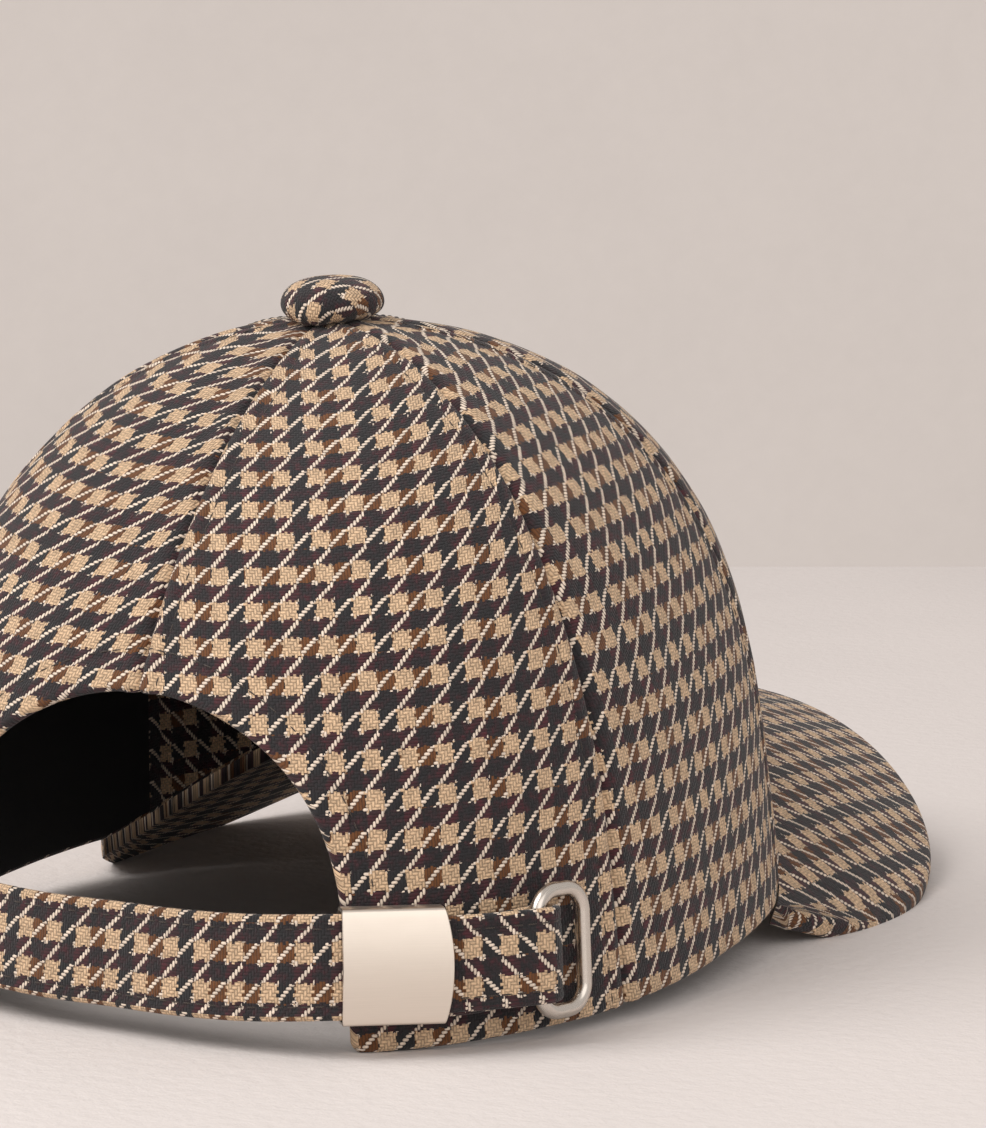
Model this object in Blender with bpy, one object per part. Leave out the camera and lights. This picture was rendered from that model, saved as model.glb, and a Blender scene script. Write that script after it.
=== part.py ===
"""A six-panel tweed cap with a curved peak, a half-moon opening at the back and a buckled strap.

Metres, +Z up, the peak towards -Y and the wearer's right towards -X. The cap stands as it rests on
a table: on the hem beside the back opening and on the two wings of the peak. The crown is worked
out in its own frame, with the hem in the plane z = 0 and the seams on meridians that are counted in
degrees from the centre back towards the wearer's right. settle() then tips it onto the table.
Neighbouring pieces keep a gap of 0.3 mm.
"""

import math

import bmesh
import bpy
import numpy as np

# Crown, as worn by a 57 cm head
CROWN_HALF_WIDTH = 0.0844
CROWN_FRONT_REACH = 0.1000
CROWN_BACK_REACH = 0.0885
CROWN_HEIGHT = 0.1240
CROWN_PLAN_POWER = 2.288
APEX_FORWARD = 0.0077
HEM_FLARE = 0.023
HEM_FLARE_HEIGHT = 0.0390
WALL = 0.0020
GAP = 0.0003
SEAM_DIP = 0.0007
SEAM_DIP_WIDTH = 0.0024
SEAM_FADE_RADIUS = 0.0200
TOP_HOLE_RADIUS = 0.0030

# The profile between hem and button: a higher outward power makes a squarer shoulder
PROFILE = {
    # side: (outward power, upward power)
    "back": (1.528, 2.032),
    "side": (2.089, 2.533),
    "front": (1.615, 4.172),
}

# Panels of the wearer's right half, each from seam to seam in degrees from the centre back
BACK_SEAM = 0.0
SIDE_SEAM = 68.8
TEMPLE_SEAM = 124.0
FRONT_SEAM = 180.0

# Opening at the back, half of it
OPENING_HALF_ANGLE = 30.8
OPENING_HEIGHT = 0.0639
OPENING_WIDTH_POWER = 1.990
OPENING_HEIGHT_POWER = 4.084
OPENING_CORNER = 0.0028

# How the cap stands
TIP_BACK = 4.4
HEEL_REACH = 0.0797
REST_FLAT = 0.0005
FRAME_SHIFT = 0.0424

# Peak
PEAK_JOIN_END = 116.0
PEAK_JOIN_RISE = 0.0292
PEAK_JOIN_POWER = 1.327
PEAK_LENGTH = 0.0760
PEAK_HALF_WIDTH = 0.0980
PEAK_OUTLINE_POWER = 2.376
PEAK_THICKNESS = 0.0044
PEAK_FRONT_HEIGHT = 0.0131
PEAK_WING_HEIGHT = -0.0113
PEAK_WING_ANGLE = 76.9
PEAK_ARCH_POWER = 2.2
PEAK_FULLNESS = 0.0012
PEAK_WAIST_POWER = 5.0
PEAK_END_SHARE = 0.985

# Button
BUTTON_RADIUS = 0.0105
BUTTON_HEIGHT = 0.0085
BUTTON_GATHERS = 8
BUTTON_GATHER_DEPTH = 0.0004
BUTTON_OFFSET = (-0.0014, -0.0007)

# Strap, keeper and ring
STRAP_WIDTH = 0.0200
STRAP_MOUTH_WIDTH = 0.0197
STRAP_NARROW_WIDTH = 0.0180
STRAP_THICKNESS = 0.0020
STRAP_TAIL = 0.0030
MOUTH_MARGIN = 0.0012
STRAP_LINE = (
    # (degrees from the centre back, height of the middle, lean in degrees)
    (-60.0, 0.0168, 0.0),
    (20.0, 0.0168, 0.0),
    (36.4, 0.0168, 3.2),
    (57.0, 0.0151, 4.6),
)
STRAP_INSIDE = -(WALL + 2 * GAP + 0.5 * STRAP_THICKNESS)
STRAP_ROUTE = (
    # (degrees from the centre back, distance off the crown), from the left end to the keeper
    (-47.0, STRAP_INSIDE),
    (-40.0, STRAP_INSIDE),
    (-32.0, STRAP_INSIDE),
    (-22.0, -0.0042),
    (-11.0, -0.0042),
    (0.0, -0.0030),
    (11.0, -0.0008),
    (20.0, 0.0018),
)
KEEPER_ANGLE = 36.2
KEEPER_LENGTH = 0.0192
KEEPER_HEIGHT = 0.0216
KEEPER_WALL = 0.0006
KEEPER_STANDOFF = 0.0006
KEEPER_BULGE = 0.0009
KEEPER_BOW = 0.0016
KEEPER_EDGE = 0.0007
RING_ANGLE = 56.8
RING_WIDTH = 0.0155
RING_HEIGHT = 0.0258
RING_WIRE = 0.0029
RING_CORNER = 0.0048
RING_STANDOFF = 0.0003
RING_PLAY = 0.0006
FOLD_SLACK = 0.0010

# Colours
TWEED_COLOUR = (0.17, 0.10, 0.07)
KEEPER_COLOUR = (0.62, 0.58, 0.53)
RING_COLOUR = (0.60, 0.57, 0.54)

# Mesh density
PANEL_ROWS = 15
SEAM_COLUMNS = (0.0015, 0.0036, 0.0080)
EDGE_COLUMN_TURNS = range(16, 90, 9)
PEAK_STATIONS = 41
RING_SIDES = 10
RING_CORNER_STEPS = 6
PEAK_SECTION_STEPS = 7

# Steps in radians over which directions on the crown are measured
FINE_STEP = 0.001
COARSE_STEP = 0.01


def mix_profile(phi):
    """Outward and upward powers of the profile on the meridian phi."""
    toward_back = max(math.cos(phi), 0.0) ** 2
    toward_front = max(-math.cos(phi), 0.0) ** 2
    return tuple(
        side + (back - side) * toward_back + (front - side) * toward_front
        for back, side, front in zip(PROFILE["back"], PROFILE["side"], PROFILE["front"])
    )


def plan_radius(phi):
    """Radius of the hem's outline seen from above."""
    reach = CROWN_BACK_REACH if math.cos(phi) > 0 else CROWN_FRONT_REACH
    across = abs(math.sin(phi)) / CROWN_HALF_WIDTH
    along = abs(math.cos(phi)) / reach
    power = CROWN_PLAN_POWER
    return (across ** power + along ** power) ** (-1.0 / power)


def climb_at(phi, height):
    """Profile parameter, 0 at the hem and pi / 2 at the apex, of a height on the crown."""
    upward = mix_profile(phi)[1]
    return math.asin(min(max(height / CROWN_HEIGHT, 0.0), 1.0) ** (upward / 2.0))


def climb_at_radius(phi, radius):
    """Profile parameter where the crown has closed in to a radius."""
    outward = mix_profile(phi)[0]
    return math.acos((radius / plan_radius(phi)) ** (outward / 2.0))


def seam_dip(phi, radius):
    """How far the cloth is pulled in beside the nearest seam."""
    seams = (BACK_SEAM, SIDE_SEAM, TEMPLE_SEAM, FRONT_SEAM)
    angle = abs(math.degrees(phi))
    nearest = min(abs(angle - seam) for seam in seams)
    distance = math.radians(nearest) * radius
    return SEAM_DIP * math.exp(-((distance / SEAM_DIP_WIDTH) ** 2))


def crown_point(phi, climb):
    """Point of the crown's outer surface, in the crown's own frame."""
    outward, upward = mix_profile(phi)
    closed = max(math.cos(climb), 0.0) ** (2.0 / outward)
    height = CROWN_HEIGHT * max(math.sin(climb), 0.0) ** (2.0 / upward)
    flare = 1.0 + HEM_FLARE * max(1.0 - height / HEM_FLARE_HEIGHT, 0.0) ** 2
    radius = plan_radius(phi) * closed * flare
    radius -= seam_dip(phi, radius) * min(radius / SEAM_FADE_RADIUS, 1.0)
    forward = APEX_FORWARD * (1.0 - closed)
    return np.array((-radius * math.sin(phi), radius * math.cos(phi) - forward, height))


def crown_normal(phi, climb):
    """Outward unit normal of the crown."""
    climb = min(max(climb, 2 * FINE_STEP), math.pi / 2 - 2 * FINE_STEP)
    across = crown_point(phi + FINE_STEP, climb) - crown_point(phi - FINE_STEP, climb)
    upward = crown_point(phi, climb + FINE_STEP) - crown_point(phi, climb - FINE_STEP)
    normal = np.cross(across, upward)
    return normal / np.linalg.norm(normal)


def settle(point):
    """From the crown's frame to the cap as it stands: tipped back, and flat where it rests."""
    tip = math.radians(TIP_BACK)
    x, y, z = point
    lift = HEEL_REACH * math.sin(tip) - REST_FLAT
    settled_y = y * math.cos(tip) + z * math.sin(tip) + FRAME_SHIFT
    settled_z = -y * math.sin(tip) + z * math.cos(tip) + lift
    return (x, settled_y, max(settled_z, 0.0))


def opening_height(phi):
    """Height of the back opening's edge on a meridian, and 0 beyond it."""
    share = abs(math.degrees(phi)) / OPENING_HALF_ANGLE
    if share >= 1.0:
        return 0.0
    return OPENING_HEIGHT * (1.0 - share ** OPENING_WIDTH_POWER) ** (1.0 / OPENING_HEIGHT_POWER)


def join_height(phi):
    """Height of the crown's lower edge where the peak is sewn on, and 0 beside it."""
    start = math.radians(PEAK_JOIN_END)
    share = (abs(phi) - start) / (math.pi - start)
    if share <= 0.0:
        return 0.0
    return PEAK_JOIN_RISE * math.sin(min(share, 1.0) * math.pi / 2) ** PEAK_JOIN_POWER


def lower_edge(phi):
    """Height of the cloth's lower edge on a meridian."""
    beyond = (abs(phi) - math.radians(OPENING_HALF_ANGLE)) * plan_radius(phi)
    if beyond <= 0.0:
        return max(opening_height(phi), OPENING_CORNER)
    if beyond < OPENING_CORNER:
        return OPENING_CORNER - math.sqrt(OPENING_CORNER ** 2 - (OPENING_CORNER - beyond) ** 2)
    return join_height(phi)


def cloth_material(name):
    """Matt woven cloth in the mean colour of its checks."""
    return plain_material(name, TWEED_COLOUR, roughness=0.9, metallic=0.0)


def plain_material(name, colour, roughness, metallic):
    """A material with one colour and finish."""
    material = bpy.data.materials.new(name)
    material.use_nodes = True
    shader = material.node_tree.nodes["Principled BSDF"]
    shader.inputs["Base Color"].default_value = (*colour, 1.0)
    shader.inputs["Roughness"].default_value = roughness
    shader.inputs["Metallic"].default_value = metallic
    return material


def add_object(name, mesh, material):
    """Link a finished mesh as an object with its material."""
    mesh.materials.append(material)
    mesh.shade_smooth()
    mesh.set_sharp_from_angle(angle=math.radians(40))
    piece = bpy.data.objects.new(name, mesh)
    bpy.context.scene.collection.objects.link(piece)
    return piece


def finish_mesh(name, shape):
    """Turn a bmesh into a mesh with its faces pointing out."""
    bmesh.ops.recalc_face_normals(shape, faces=shape.faces)
    mesh = bpy.data.meshes.new(name)
    shape.to_mesh(mesh)
    shape.free()
    return mesh


def loft(name, sections, material, closed=False):
    """Skin closed sections of equal point counts, capped at both ends unless they form a ring."""
    shape = bmesh.new()
    rows = [[shape.verts.new(point) for point in section] for section in sections]
    pairs = list(zip(rows, rows[1:])) + ([(rows[-1], rows[0])] if closed else [])
    count = len(rows[0])
    for low, high in pairs:
        for i in range(count):
            j = (i + 1) % count
            shape.faces.new((low[i], low[j], high[j], high[i]))
    if not closed:
        shape.faces.new(rows[0][::-1])
        shape.faces.new(rows[-1])
    return add_object(name, finish_mesh(name, shape), material)


def shell(name, outer, inner, material, mirrored):
    """Closed wall between two grids of points, where inner[i][j] lies under outer[i][j]."""
    side = -1.0 if mirrored else 1.0
    shape = bmesh.new()
    skins = [
        [[shape.verts.new((p[0] * side, p[1], p[2])) for p in column] for column in grid]
        for grid in (outer, inner)
    ]
    columns, rows = len(outer), len(outer[0])
    for skin in skins:
        for i in range(columns - 1):
            for j in range(rows - 1):
                shape.faces.new((skin[i][j], skin[i + 1][j], skin[i + 1][j + 1], skin[i][j + 1]))
    border = [(i, 0) for i in range(columns)]
    border += [(columns - 1, j) for j in range(1, rows)]
    border += [(i, rows - 1) for i in range(columns - 2, -1, -1)]
    border += [(0, j) for j in range(rows - 2, 0, -1)]
    top, bottom = skins
    for (i, j), (k, m) in zip(border, border[1:] + border[:1]):
        shape.faces.new((top[i][j], bottom[i][j], bottom[k][m], top[k][m]))
    return add_object(name, finish_mesh(name, shape), material)


def columns_between(start, stop, count):
    """Meridians from seam to seam in radians, closer together beside the seams."""
    low, high = math.radians(start), math.radians(stop)
    margins = [distance / CROWN_HALF_WIDTH for distance in (0.5 * GAP, *SEAM_COLUMNS)]
    middle = np.linspace(low + margins[-1], high - margins[-1], count)
    return [low + m for m in margins[:-1]] + list(middle) + [high - m for m in margins[-2::-1]]


def back_columns():
    """Meridians of a back panel: along the opening's edge, round its corner, then to the seam."""
    edge_radius = plan_radius(0.0) * math.cos(climb_at(0.0, OPENING_HEIGHT))
    margins = [distance / edge_radius for distance in (0.5 * GAP, *SEAM_COLUMNS[:2])]
    half = math.radians(OPENING_HALF_ANGLE)
    power = 2.0 / OPENING_WIDTH_POWER
    along = [half * math.sin(math.radians(turn)) ** power for turn in EDGE_COLUMN_TURNS]
    corner = [half + OPENING_CORNER / CROWN_BACK_REACH * share for share in (0.0, 0.3, 1.0)]
    return margins + along + corner + columns_between(OPENING_HALF_ANGLE, SIDE_SEAM, 5)[3:]


def seam_limit(phi, climb, seams):
    """Keep half of the gap to the seams, which is a wider angle where the crown is narrow."""
    radius = max(math.hypot(*crown_point(phi, climb)[:2]), TOP_HOLE_RADIUS)
    margin = 0.5 * GAP / radius
    return min(max(phi, math.radians(seams[0]) + margin), math.radians(seams[1]) - margin)


def panel(name, seams, columns, material, mirrored):
    """One gore of the crown as a wall of cloth."""
    outer, inner = [], []
    for phi in columns:
        bottom = climb_at(phi, lower_edge(phi))
        top = climb_at_radius(phi, TOP_HOLE_RADIUS)
        outer.append([])
        inner.append([])
        for share in np.linspace(0.0, 1.0, PANEL_ROWS + 1):
            climb = bottom + (top - bottom) * share
            angle = seam_limit(phi, climb, seams)
            point = crown_point(angle, climb)
            under = point - crown_normal(angle, climb) * WALL
            under[2] = max(under[2], 0.0) if share == 0.0 else under[2]
            outer[-1].append(settle(point))
            inner[-1].append(settle(keep_side(under, climb, seams)))
    return shell(name, outer, inner, material, mirrored)


def keep_side(point, climb, seams):
    """Move a point of the inner face back to its own side of the two seams."""
    for seam, sense in zip(seams, (1.0, -1.0)):
        angle = math.radians(seam)
        upward = crown_point(angle, climb + FINE_STEP) - crown_point(angle, climb - FINE_STEP)
        across = np.cross(upward, crown_normal(angle, climb)) * sense
        across /= np.linalg.norm(across)
        short = 0.5 * GAP - float(np.dot(point - crown_point(angle, climb), across))
        if short > 0.0:
            point = point + across * short
    return point


def build_crown(material):
    """Six panels, three to a side."""
    gores = {
        # name: (seams, columns)
        "panel_back": ((BACK_SEAM, SIDE_SEAM), back_columns()),
        "panel_side": ((SIDE_SEAM, TEMPLE_SEAM), columns_between(SIDE_SEAM, TEMPLE_SEAM, 7)),
        "panel_front": ((TEMPLE_SEAM, FRONT_SEAM), columns_between(TEMPLE_SEAM, FRONT_SEAM, 7)),
    }
    for name, (seams, columns) in gores.items():
        panel(name + "_right", seams, columns, material, mirrored=False)
        panel(name + "_left", seams, columns, material, mirrored=True)


def join_point(share):
    """Point of the crown's outer surface under the peak's inner edge, share -1 to 1 across."""
    phi = math.pi - share * (math.pi - math.radians(PEAK_JOIN_END))
    height = join_height(phi if phi <= math.pi else 2 * math.pi - phi)
    climb = climb_at(phi, height)
    return crown_point(phi, climb), crown_normal(phi, climb)


def peak_outline(share):
    """Top of the peak's outer edge, share -1 at the left wing's end to 1 at the right's."""
    turn = abs(share) * math.pi / 2
    end = join_point(1.0)[0]
    across = math.sin(turn) ** (2.0 / PEAK_OUTLINE_POWER)
    forward = max(math.cos(turn), 0.0) ** (2.0 / PEAK_OUTLINE_POWER)
    half_width = PEAK_HALF_WIDTH + (abs(end[0]) - PEAK_HALF_WIDTH) * (1.0 - forward) ** PEAK_WAIST_POWER
    reach = -end[1] + (CROWN_FRONT_REACH + PEAK_LENGTH + end[1]) * forward
    wing = PEAK_WING_ANGLE / 90.0
    if abs(share) < wing:
        arch = math.cos(abs(share) / wing * math.pi / 2) ** PEAK_ARCH_POWER
        height = PEAK_WING_HEIGHT + (PEAK_FRONT_HEIGHT - PEAK_WING_HEIGHT) * arch
    else:
        back = (abs(share) - wing) / (1.0 - wing)
        height = PEAK_WING_HEIGHT * (1.0 - back ** 2)
    return np.array((-math.copysign(across * half_width, share), -reach, height))


def peak_section(share):
    """Closed section of the peak from the crown out to its rounded edge and back underneath."""
    join, normal = join_point(share)
    outward = np.array((normal[0], normal[1], 0.0)) / math.hypot(normal[0], normal[1])
    start = join + outward * GAP
    edge = peak_outline(share)
    span = edge - start
    width = float(np.linalg.norm(span))
    along = span / width
    side = np.cross(along, np.array((0.0, 0.0, 1.0)))
    down = np.cross(along, side / np.linalg.norm(side))
    down *= -math.copysign(1.0, down[2])
    half = 0.5 * PEAK_THICKNESS
    round_length = min(half, 0.45 * width)
    flat = width - round_length
    top, bottom = [], []
    for step in np.linspace(0.0, 1.0, PEAK_SECTION_STEPS):
        full = PEAK_FULLNESS * math.sin(math.pi * step) * min(width / PEAK_LENGTH, 1.0)
        middle = start + along * (flat * step) - down * full
        top.append(middle)
        bottom.append(middle + down * PEAK_THICKNESS)
    centre = start + along * flat + down * half
    arc = [
        centre + along * round_length * math.sin(a) - down * half * math.cos(a)
        for a in np.radians((45.0, 90.0, 135.0))
    ]
    return [settle(p) for p in top + arc + bottom[::-1]]


def build_peak(material):
    """The peak, a stiff board in cloth, as one solid."""
    turns = np.linspace(-math.pi / 2, math.pi / 2, PEAK_STATIONS)
    shares = [PEAK_END_SHARE * math.sin(turn) for turn in turns]
    loft("peak", [peak_section(share) for share in shares], material)


def crown_top_height(radius, phi):
    """Height of the crown at a small radius from the apex."""
    outward, upward = mix_profile(phi)
    return CROWN_HEIGHT * (1.0 - (radius / plan_radius(phi)) ** outward) ** (1.0 / upward)


def build_button(material):
    """Covered button: a flattened bun with gathers, hollowed underneath to the crown's top."""
    profile = (
        # (radius share, height share above the seat)
        (0.00, 1.00), (0.45, 0.97), (0.75, 0.84), (0.94, 0.62), (1.00, 0.40), (0.94, 0.18),
        (0.84, 0.00), (0.60, 0.00), (0.36, 0.00), (0.15, 0.00), (0.00, 0.00),
    )
    sides = 4 * BUTTON_GATHERS
    shape = bmesh.new()
    rings = []
    for radius_share, height_share in profile:
        ring = []
        for k in range(sides if radius_share else 1):
            phi = 2 * math.pi * k / sides
            gather = BUTTON_GATHER_DEPTH * math.cos(phi * BUTTON_GATHERS) * radius_share ** 2
            radius = BUTTON_RADIUS * radius_share + gather * (height_share > 0)
            x = BUTTON_OFFSET[0] - radius * math.sin(phi)
            y = BUTTON_OFFSET[1] + radius * math.cos(phi)
            seat = crown_top_height(math.hypot(x, y), math.atan2(-x, y)) + 2 * GAP
            height = seat + (CROWN_HEIGHT + BUTTON_HEIGHT - seat) * height_share
            point = (x, y - APEX_FORWARD, height)
            ring.append(shape.verts.new(settle(point)))
        rings.append(ring)
    for low, high in zip(rings, rings[1:]):
        for k in range(sides):
            following = (k + 1) % sides
            corners = (low[k % len(low)], low[following % len(low)],
                       high[following % len(high)], high[k % len(high)])
            unique = list(dict.fromkeys(corners))
            shape.faces.new(unique)
    add_object("button", finish_mesh("button", shape), material)


def band_frame(angle):
    """Place on the crown under the strap's middle, with the strap's directions along, out and up."""
    angles, heights, leans = zip(*STRAP_LINE)
    phi = math.radians(angle)
    climb = climb_at(phi, float(np.interp(angle, angles, heights)))
    lean = math.radians(float(np.interp(angle, angles, leans)))
    level = crown_point(phi + COARSE_STEP, climb) - crown_point(phi - COARSE_STEP, climb)
    upward = crown_point(phi, climb + COARSE_STEP) - crown_point(phi, climb - COARSE_STEP)
    level[2] = 0.0
    level /= np.linalg.norm(level)
    outward = np.cross(level, upward)
    outward /= np.linalg.norm(outward)
    along = level * math.cos(lean) - np.cross(outward, level) * math.sin(lean)
    return crown_point(phi, climb), along, outward, np.cross(outward, along)


def keeper_stack():
    """Depths off the crown, from the keeper's back wall out to its plate."""
    back_wall = KEEPER_STANDOFF + KEEPER_WALL
    under_layer = back_wall + GAP + 0.5 * STRAP_THICKNESS
    upper_layer = under_layer + STRAP_THICKNESS + GAP
    plate = upper_layer + 0.5 * STRAP_THICKNESS + GAP
    return {"back": back_wall, "under": under_layer, "upper": upper_layer, "plate": plate}


def ring_frame():
    """Centre of the ring with its directions across, out and up."""
    place, along, outward, up = band_frame(RING_ANGLE)
    near = 2 * GAP + 0.5 * RING_WIRE
    far = KEEPER_STANDOFF + STRAP_THICKNESS + RING_PLAY + 0.5 * RING_WIRE
    tilt = math.asin((far - near) / (RING_WIDTH - RING_WIRE))
    across = along * math.cos(tilt) - outward * math.sin(tilt)
    centre = place + outward * (0.5 * (near + far) + RING_STANDOFF)
    return centre, across, np.cross(across, up), up


def strap_path():
    """Centre line of the strap: left end, opening, keeper, round the ring's bar and back."""
    depths = keeper_stack()
    place, along, outward, _ = band_frame(KEEPER_ANGLE)
    mouth = 0.5 * KEEPER_LENGTH + MOUTH_MARGIN
    points = []
    for angle, off in STRAP_ROUTE:
        under, _, off_crown, _ = band_frame(angle)
        points.append(under + off_crown * off)
    for reach in (-mouth, 0.0, mouth):
        points.append(place + outward * depths["upper"] + along * reach)
    centre, across, ring_out, _ = ring_frame()
    bar = centre - across * 0.5 * (RING_WIDTH - RING_WIRE)
    bend = 0.5 * RING_WIRE + RING_PLAY + 0.5 * STRAP_THICKNESS
    for turn in (100.0, 60.0, 20.0, -20.0, -60.0, -95.0):
        angle = math.radians(turn)
        points.append(bar + across * math.cos(angle) * (bend + FOLD_SLACK)
                      + ring_out * math.sin(angle) * bend)
    for reach in (mouth, 0.0, -STRAP_TAIL):
        points.append(place + outward * depths["under"] + along * reach)
    return points


def smooth_path(points, steps):
    """Points of a centripetal curve through the given ones."""
    padded = [2 * points[0] - points[1]] + points + [2 * points[-1] - points[-2]]
    curve = []
    for before, start, stop, after in zip(padded, padded[1:], padded[2:], padded[3:]):
        knots = [0.0]
        for low, high in ((before, start), (start, stop), (stop, after)):
            knots.append(knots[-1] + math.sqrt(max(np.linalg.norm(high - low), 1e-9)))
        for step in range(steps):
            t = knots[1] + (knots[2] - knots[1]) * step / steps
            low = [
                a * (k1 - t) / (k1 - k0) + b * (t - k0) / (k1 - k0)
                for a, b, k0, k1 in ((before, start, knots[0], knots[1]),
                                     (start, stop, knots[1], knots[2]),
                                     (stop, after, knots[2], knots[3]))
            ]
            left = low[0] * (knots[2] - t) / (knots[2] - knots[0]) + \
                low[1] * (t - knots[0]) / (knots[2] - knots[0])
            right = low[1] * (knots[3] - t) / (knots[3] - knots[1]) + \
                low[2] * (t - knots[1]) / (knots[3] - knots[1])
            curve.append(left * (knots[2] - t) / (knots[2] - knots[1]) +
                         right * (t - knots[1]) / (knots[2] - knots[1]))
    return curve + [points[-1]]


def build_strap(material):
    """The strap as one band of doubled cloth."""
    path = smooth_path(strap_path(), 2)
    keeper, keeper_along = band_frame(KEEPER_ANGLE)[:2]
    taper_places = (-1.5 * KEEPER_LENGTH, -0.5 * KEEPER_LENGTH, 0.3 * KEEPER_LENGTH)
    sections = []
    for k, point in enumerate(path):
        before, after = path[max(k - 1, 0)], path[min(k + 1, len(path) - 1)]
        up = band_frame(math.degrees(math.atan2(-point[0], point[1])))[3]
        outward = np.cross(after - before, up)
        outward /= np.linalg.norm(outward)
        past = float(np.dot(point - keeper, keeper_along))
        width = np.interp(past, taper_places, (STRAP_WIDTH, STRAP_MOUTH_WIDTH, STRAP_NARROW_WIDTH))
        sections.append(band_section(point, outward, up, 0.5 * float(width)))
    loft("strap", sections, material)


def band_section(point, outward, up, half_width):
    """Upright section of the strap with eased edges."""
    half = 0.5 * STRAP_THICKNESS
    ease = 0.35 * STRAP_THICKNESS
    corners = (
        (half, -half_width + ease), (half, 0.0), (half, half_width - ease),
        (half - ease, half_width), (-half + ease, half_width),
        (-half, half_width - ease), (-half, 0.0), (-half, -half_width + ease),
        (-half + ease, -half_width), (half - ease, -half_width),
    )
    return [settle(point + outward * depth + up * height) for depth, height in corners]


def build_keeper(material):
    """Keeper: a sleeve of sheet metal with a plate that bulges over its height."""
    place, along, outward, up = band_frame(KEEPER_ANGLE)
    back, front = KEEPER_STANDOFF, keeper_stack()["plate"] + KEEPER_WALL
    half = 0.5 * KEEPER_HEIGHT

    def loop(inset):
        """Section of depth and height, counted the same way for the outside and the bore."""
        reach = half - inset
        low, high = back + inset, front - inset
        heights = np.linspace(-reach + KEEPER_EDGE, reach - KEEPER_EDGE, 7)
        plate = [(high + KEEPER_BULGE * (1.0 - (h / reach) ** 2), h) for h in heights]
        rear = [(low, reach - KEEPER_EDGE), (low, 0.0), (low, -reach + KEEPER_EDGE)]
        return plate + [(high - KEEPER_EDGE, reach), (low + KEEPER_EDGE, reach)] + rear + \
            [(low + KEEPER_EDGE, -reach), (high - KEEPER_EDGE, -reach)]

    def placed(depth, height, reach):
        """Point of the sleeve, whose end towards the peak is bowed."""
        bow = KEEPER_BOW * (1.0 - (height / half) ** 2) * (depth > 0.5 * front)
        shift = reach * 0.5 * KEEPER_LENGTH + bow * (0.5 + 0.5 * reach)
        return settle(place + along * shift + outward * depth + up * height)

    sections = []
    for reach in (-1.0, -0.3, 0.4, 1.0):
        sections.append([placed(d, h, reach) for d, h in loop(0.0)])
    for reach in (1.0, 0.4, -0.3, -1.0):
        sections.append([placed(d, h, reach) for d, h in loop(KEEPER_WALL)])
    loft("keeper", sections, material, closed=True)


def build_ring(material):
    """Oval ring of round wire, upright, with one bar in the strap's fold."""
    centre, across, outward, up = ring_frame()
    half_width = 0.5 * (RING_WIDTH - RING_WIRE) - RING_CORNER
    half_height = 0.5 * (RING_HEIGHT - RING_WIRE) - RING_CORNER
    corners = ((1, 1, 0), (-1, 1, 90), (-1, -1, 180), (1, -1, 270))
    sections = []
    for side, level, start in corners:
        for turn in np.radians(np.linspace(start, start + 90, RING_CORNER_STEPS)):
            radial = across * math.cos(turn) + up * math.sin(turn)
            middle = centre + radial * RING_CORNER
            middle = middle + across * half_width * side + up * half_height * level
            sections.append(wire_section(middle, radial, outward))
    loft("ring", sections, material, closed=True)


def wire_section(middle, radial, outward):
    """Round section of the ring's wire."""
    points = []
    for k in range(RING_SIDES):
        angle = 2 * math.pi * k / RING_SIDES
        spoke = radial * math.cos(angle) + outward * math.sin(angle)
        points.append(settle(middle + spoke * 0.5 * RING_WIRE))
    return points


def main():
    """Clear the scene and build every piece."""
    for item in list(bpy.data.objects):
        bpy.data.objects.remove(item, do_unlink=True)
    build_crown(cloth_material("panel_tweed"))
    build_peak(cloth_material("peak_tweed"))
    build_button(cloth_material("button_tweed"))
    build_strap(cloth_material("strap_tweed"))
    build_keeper(plain_material("keeper_metal", KEEPER_COLOUR, roughness=0.35, metallic=1.0))
    build_ring(plain_material("ring_metal", RING_COLOUR, roughness=0.25, metallic=1.0))


main()
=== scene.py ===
"""Dresses a six-panel tweed cap: checked cloth, stitching, covered button, buckled strap and studio.

The crown is worked out in its own frame, with the hem in the plane z = 0 and the seams on meridians
counted in degrees from the centre back towards the wearer's right. settle() tips it onto the table.
Every cloth surface carries a UV map named "cloth", which gives its place on the flat cloth in metres.
"""

import math

import bmesh
import bpy
import numpy as np
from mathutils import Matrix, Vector, noise
from bpy.props import FloatProperty, FloatVectorProperty, IntProperty, PointerProperty


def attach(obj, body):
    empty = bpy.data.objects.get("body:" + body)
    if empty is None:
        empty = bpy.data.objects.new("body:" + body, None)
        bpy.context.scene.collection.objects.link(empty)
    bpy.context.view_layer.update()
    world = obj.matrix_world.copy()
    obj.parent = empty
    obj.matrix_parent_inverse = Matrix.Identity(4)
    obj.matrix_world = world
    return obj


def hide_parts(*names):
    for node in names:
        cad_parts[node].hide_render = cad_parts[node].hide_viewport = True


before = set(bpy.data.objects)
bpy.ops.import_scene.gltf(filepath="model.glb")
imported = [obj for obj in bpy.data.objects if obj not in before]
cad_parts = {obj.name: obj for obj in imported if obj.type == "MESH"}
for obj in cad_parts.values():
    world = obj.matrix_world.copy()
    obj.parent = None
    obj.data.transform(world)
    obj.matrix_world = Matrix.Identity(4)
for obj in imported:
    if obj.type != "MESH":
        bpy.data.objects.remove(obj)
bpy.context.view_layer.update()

bl_info = {
    "name": "Tweed Cap",
    "version": (1, 0, 0),
    "blender": (4, 5, 0),
    "location": "View3D > Sidebar > Cap",
    "description": "Builds the cloth, trim and studio of a six-panel tweed cap",
    "category": "Add Mesh",
}

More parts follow.
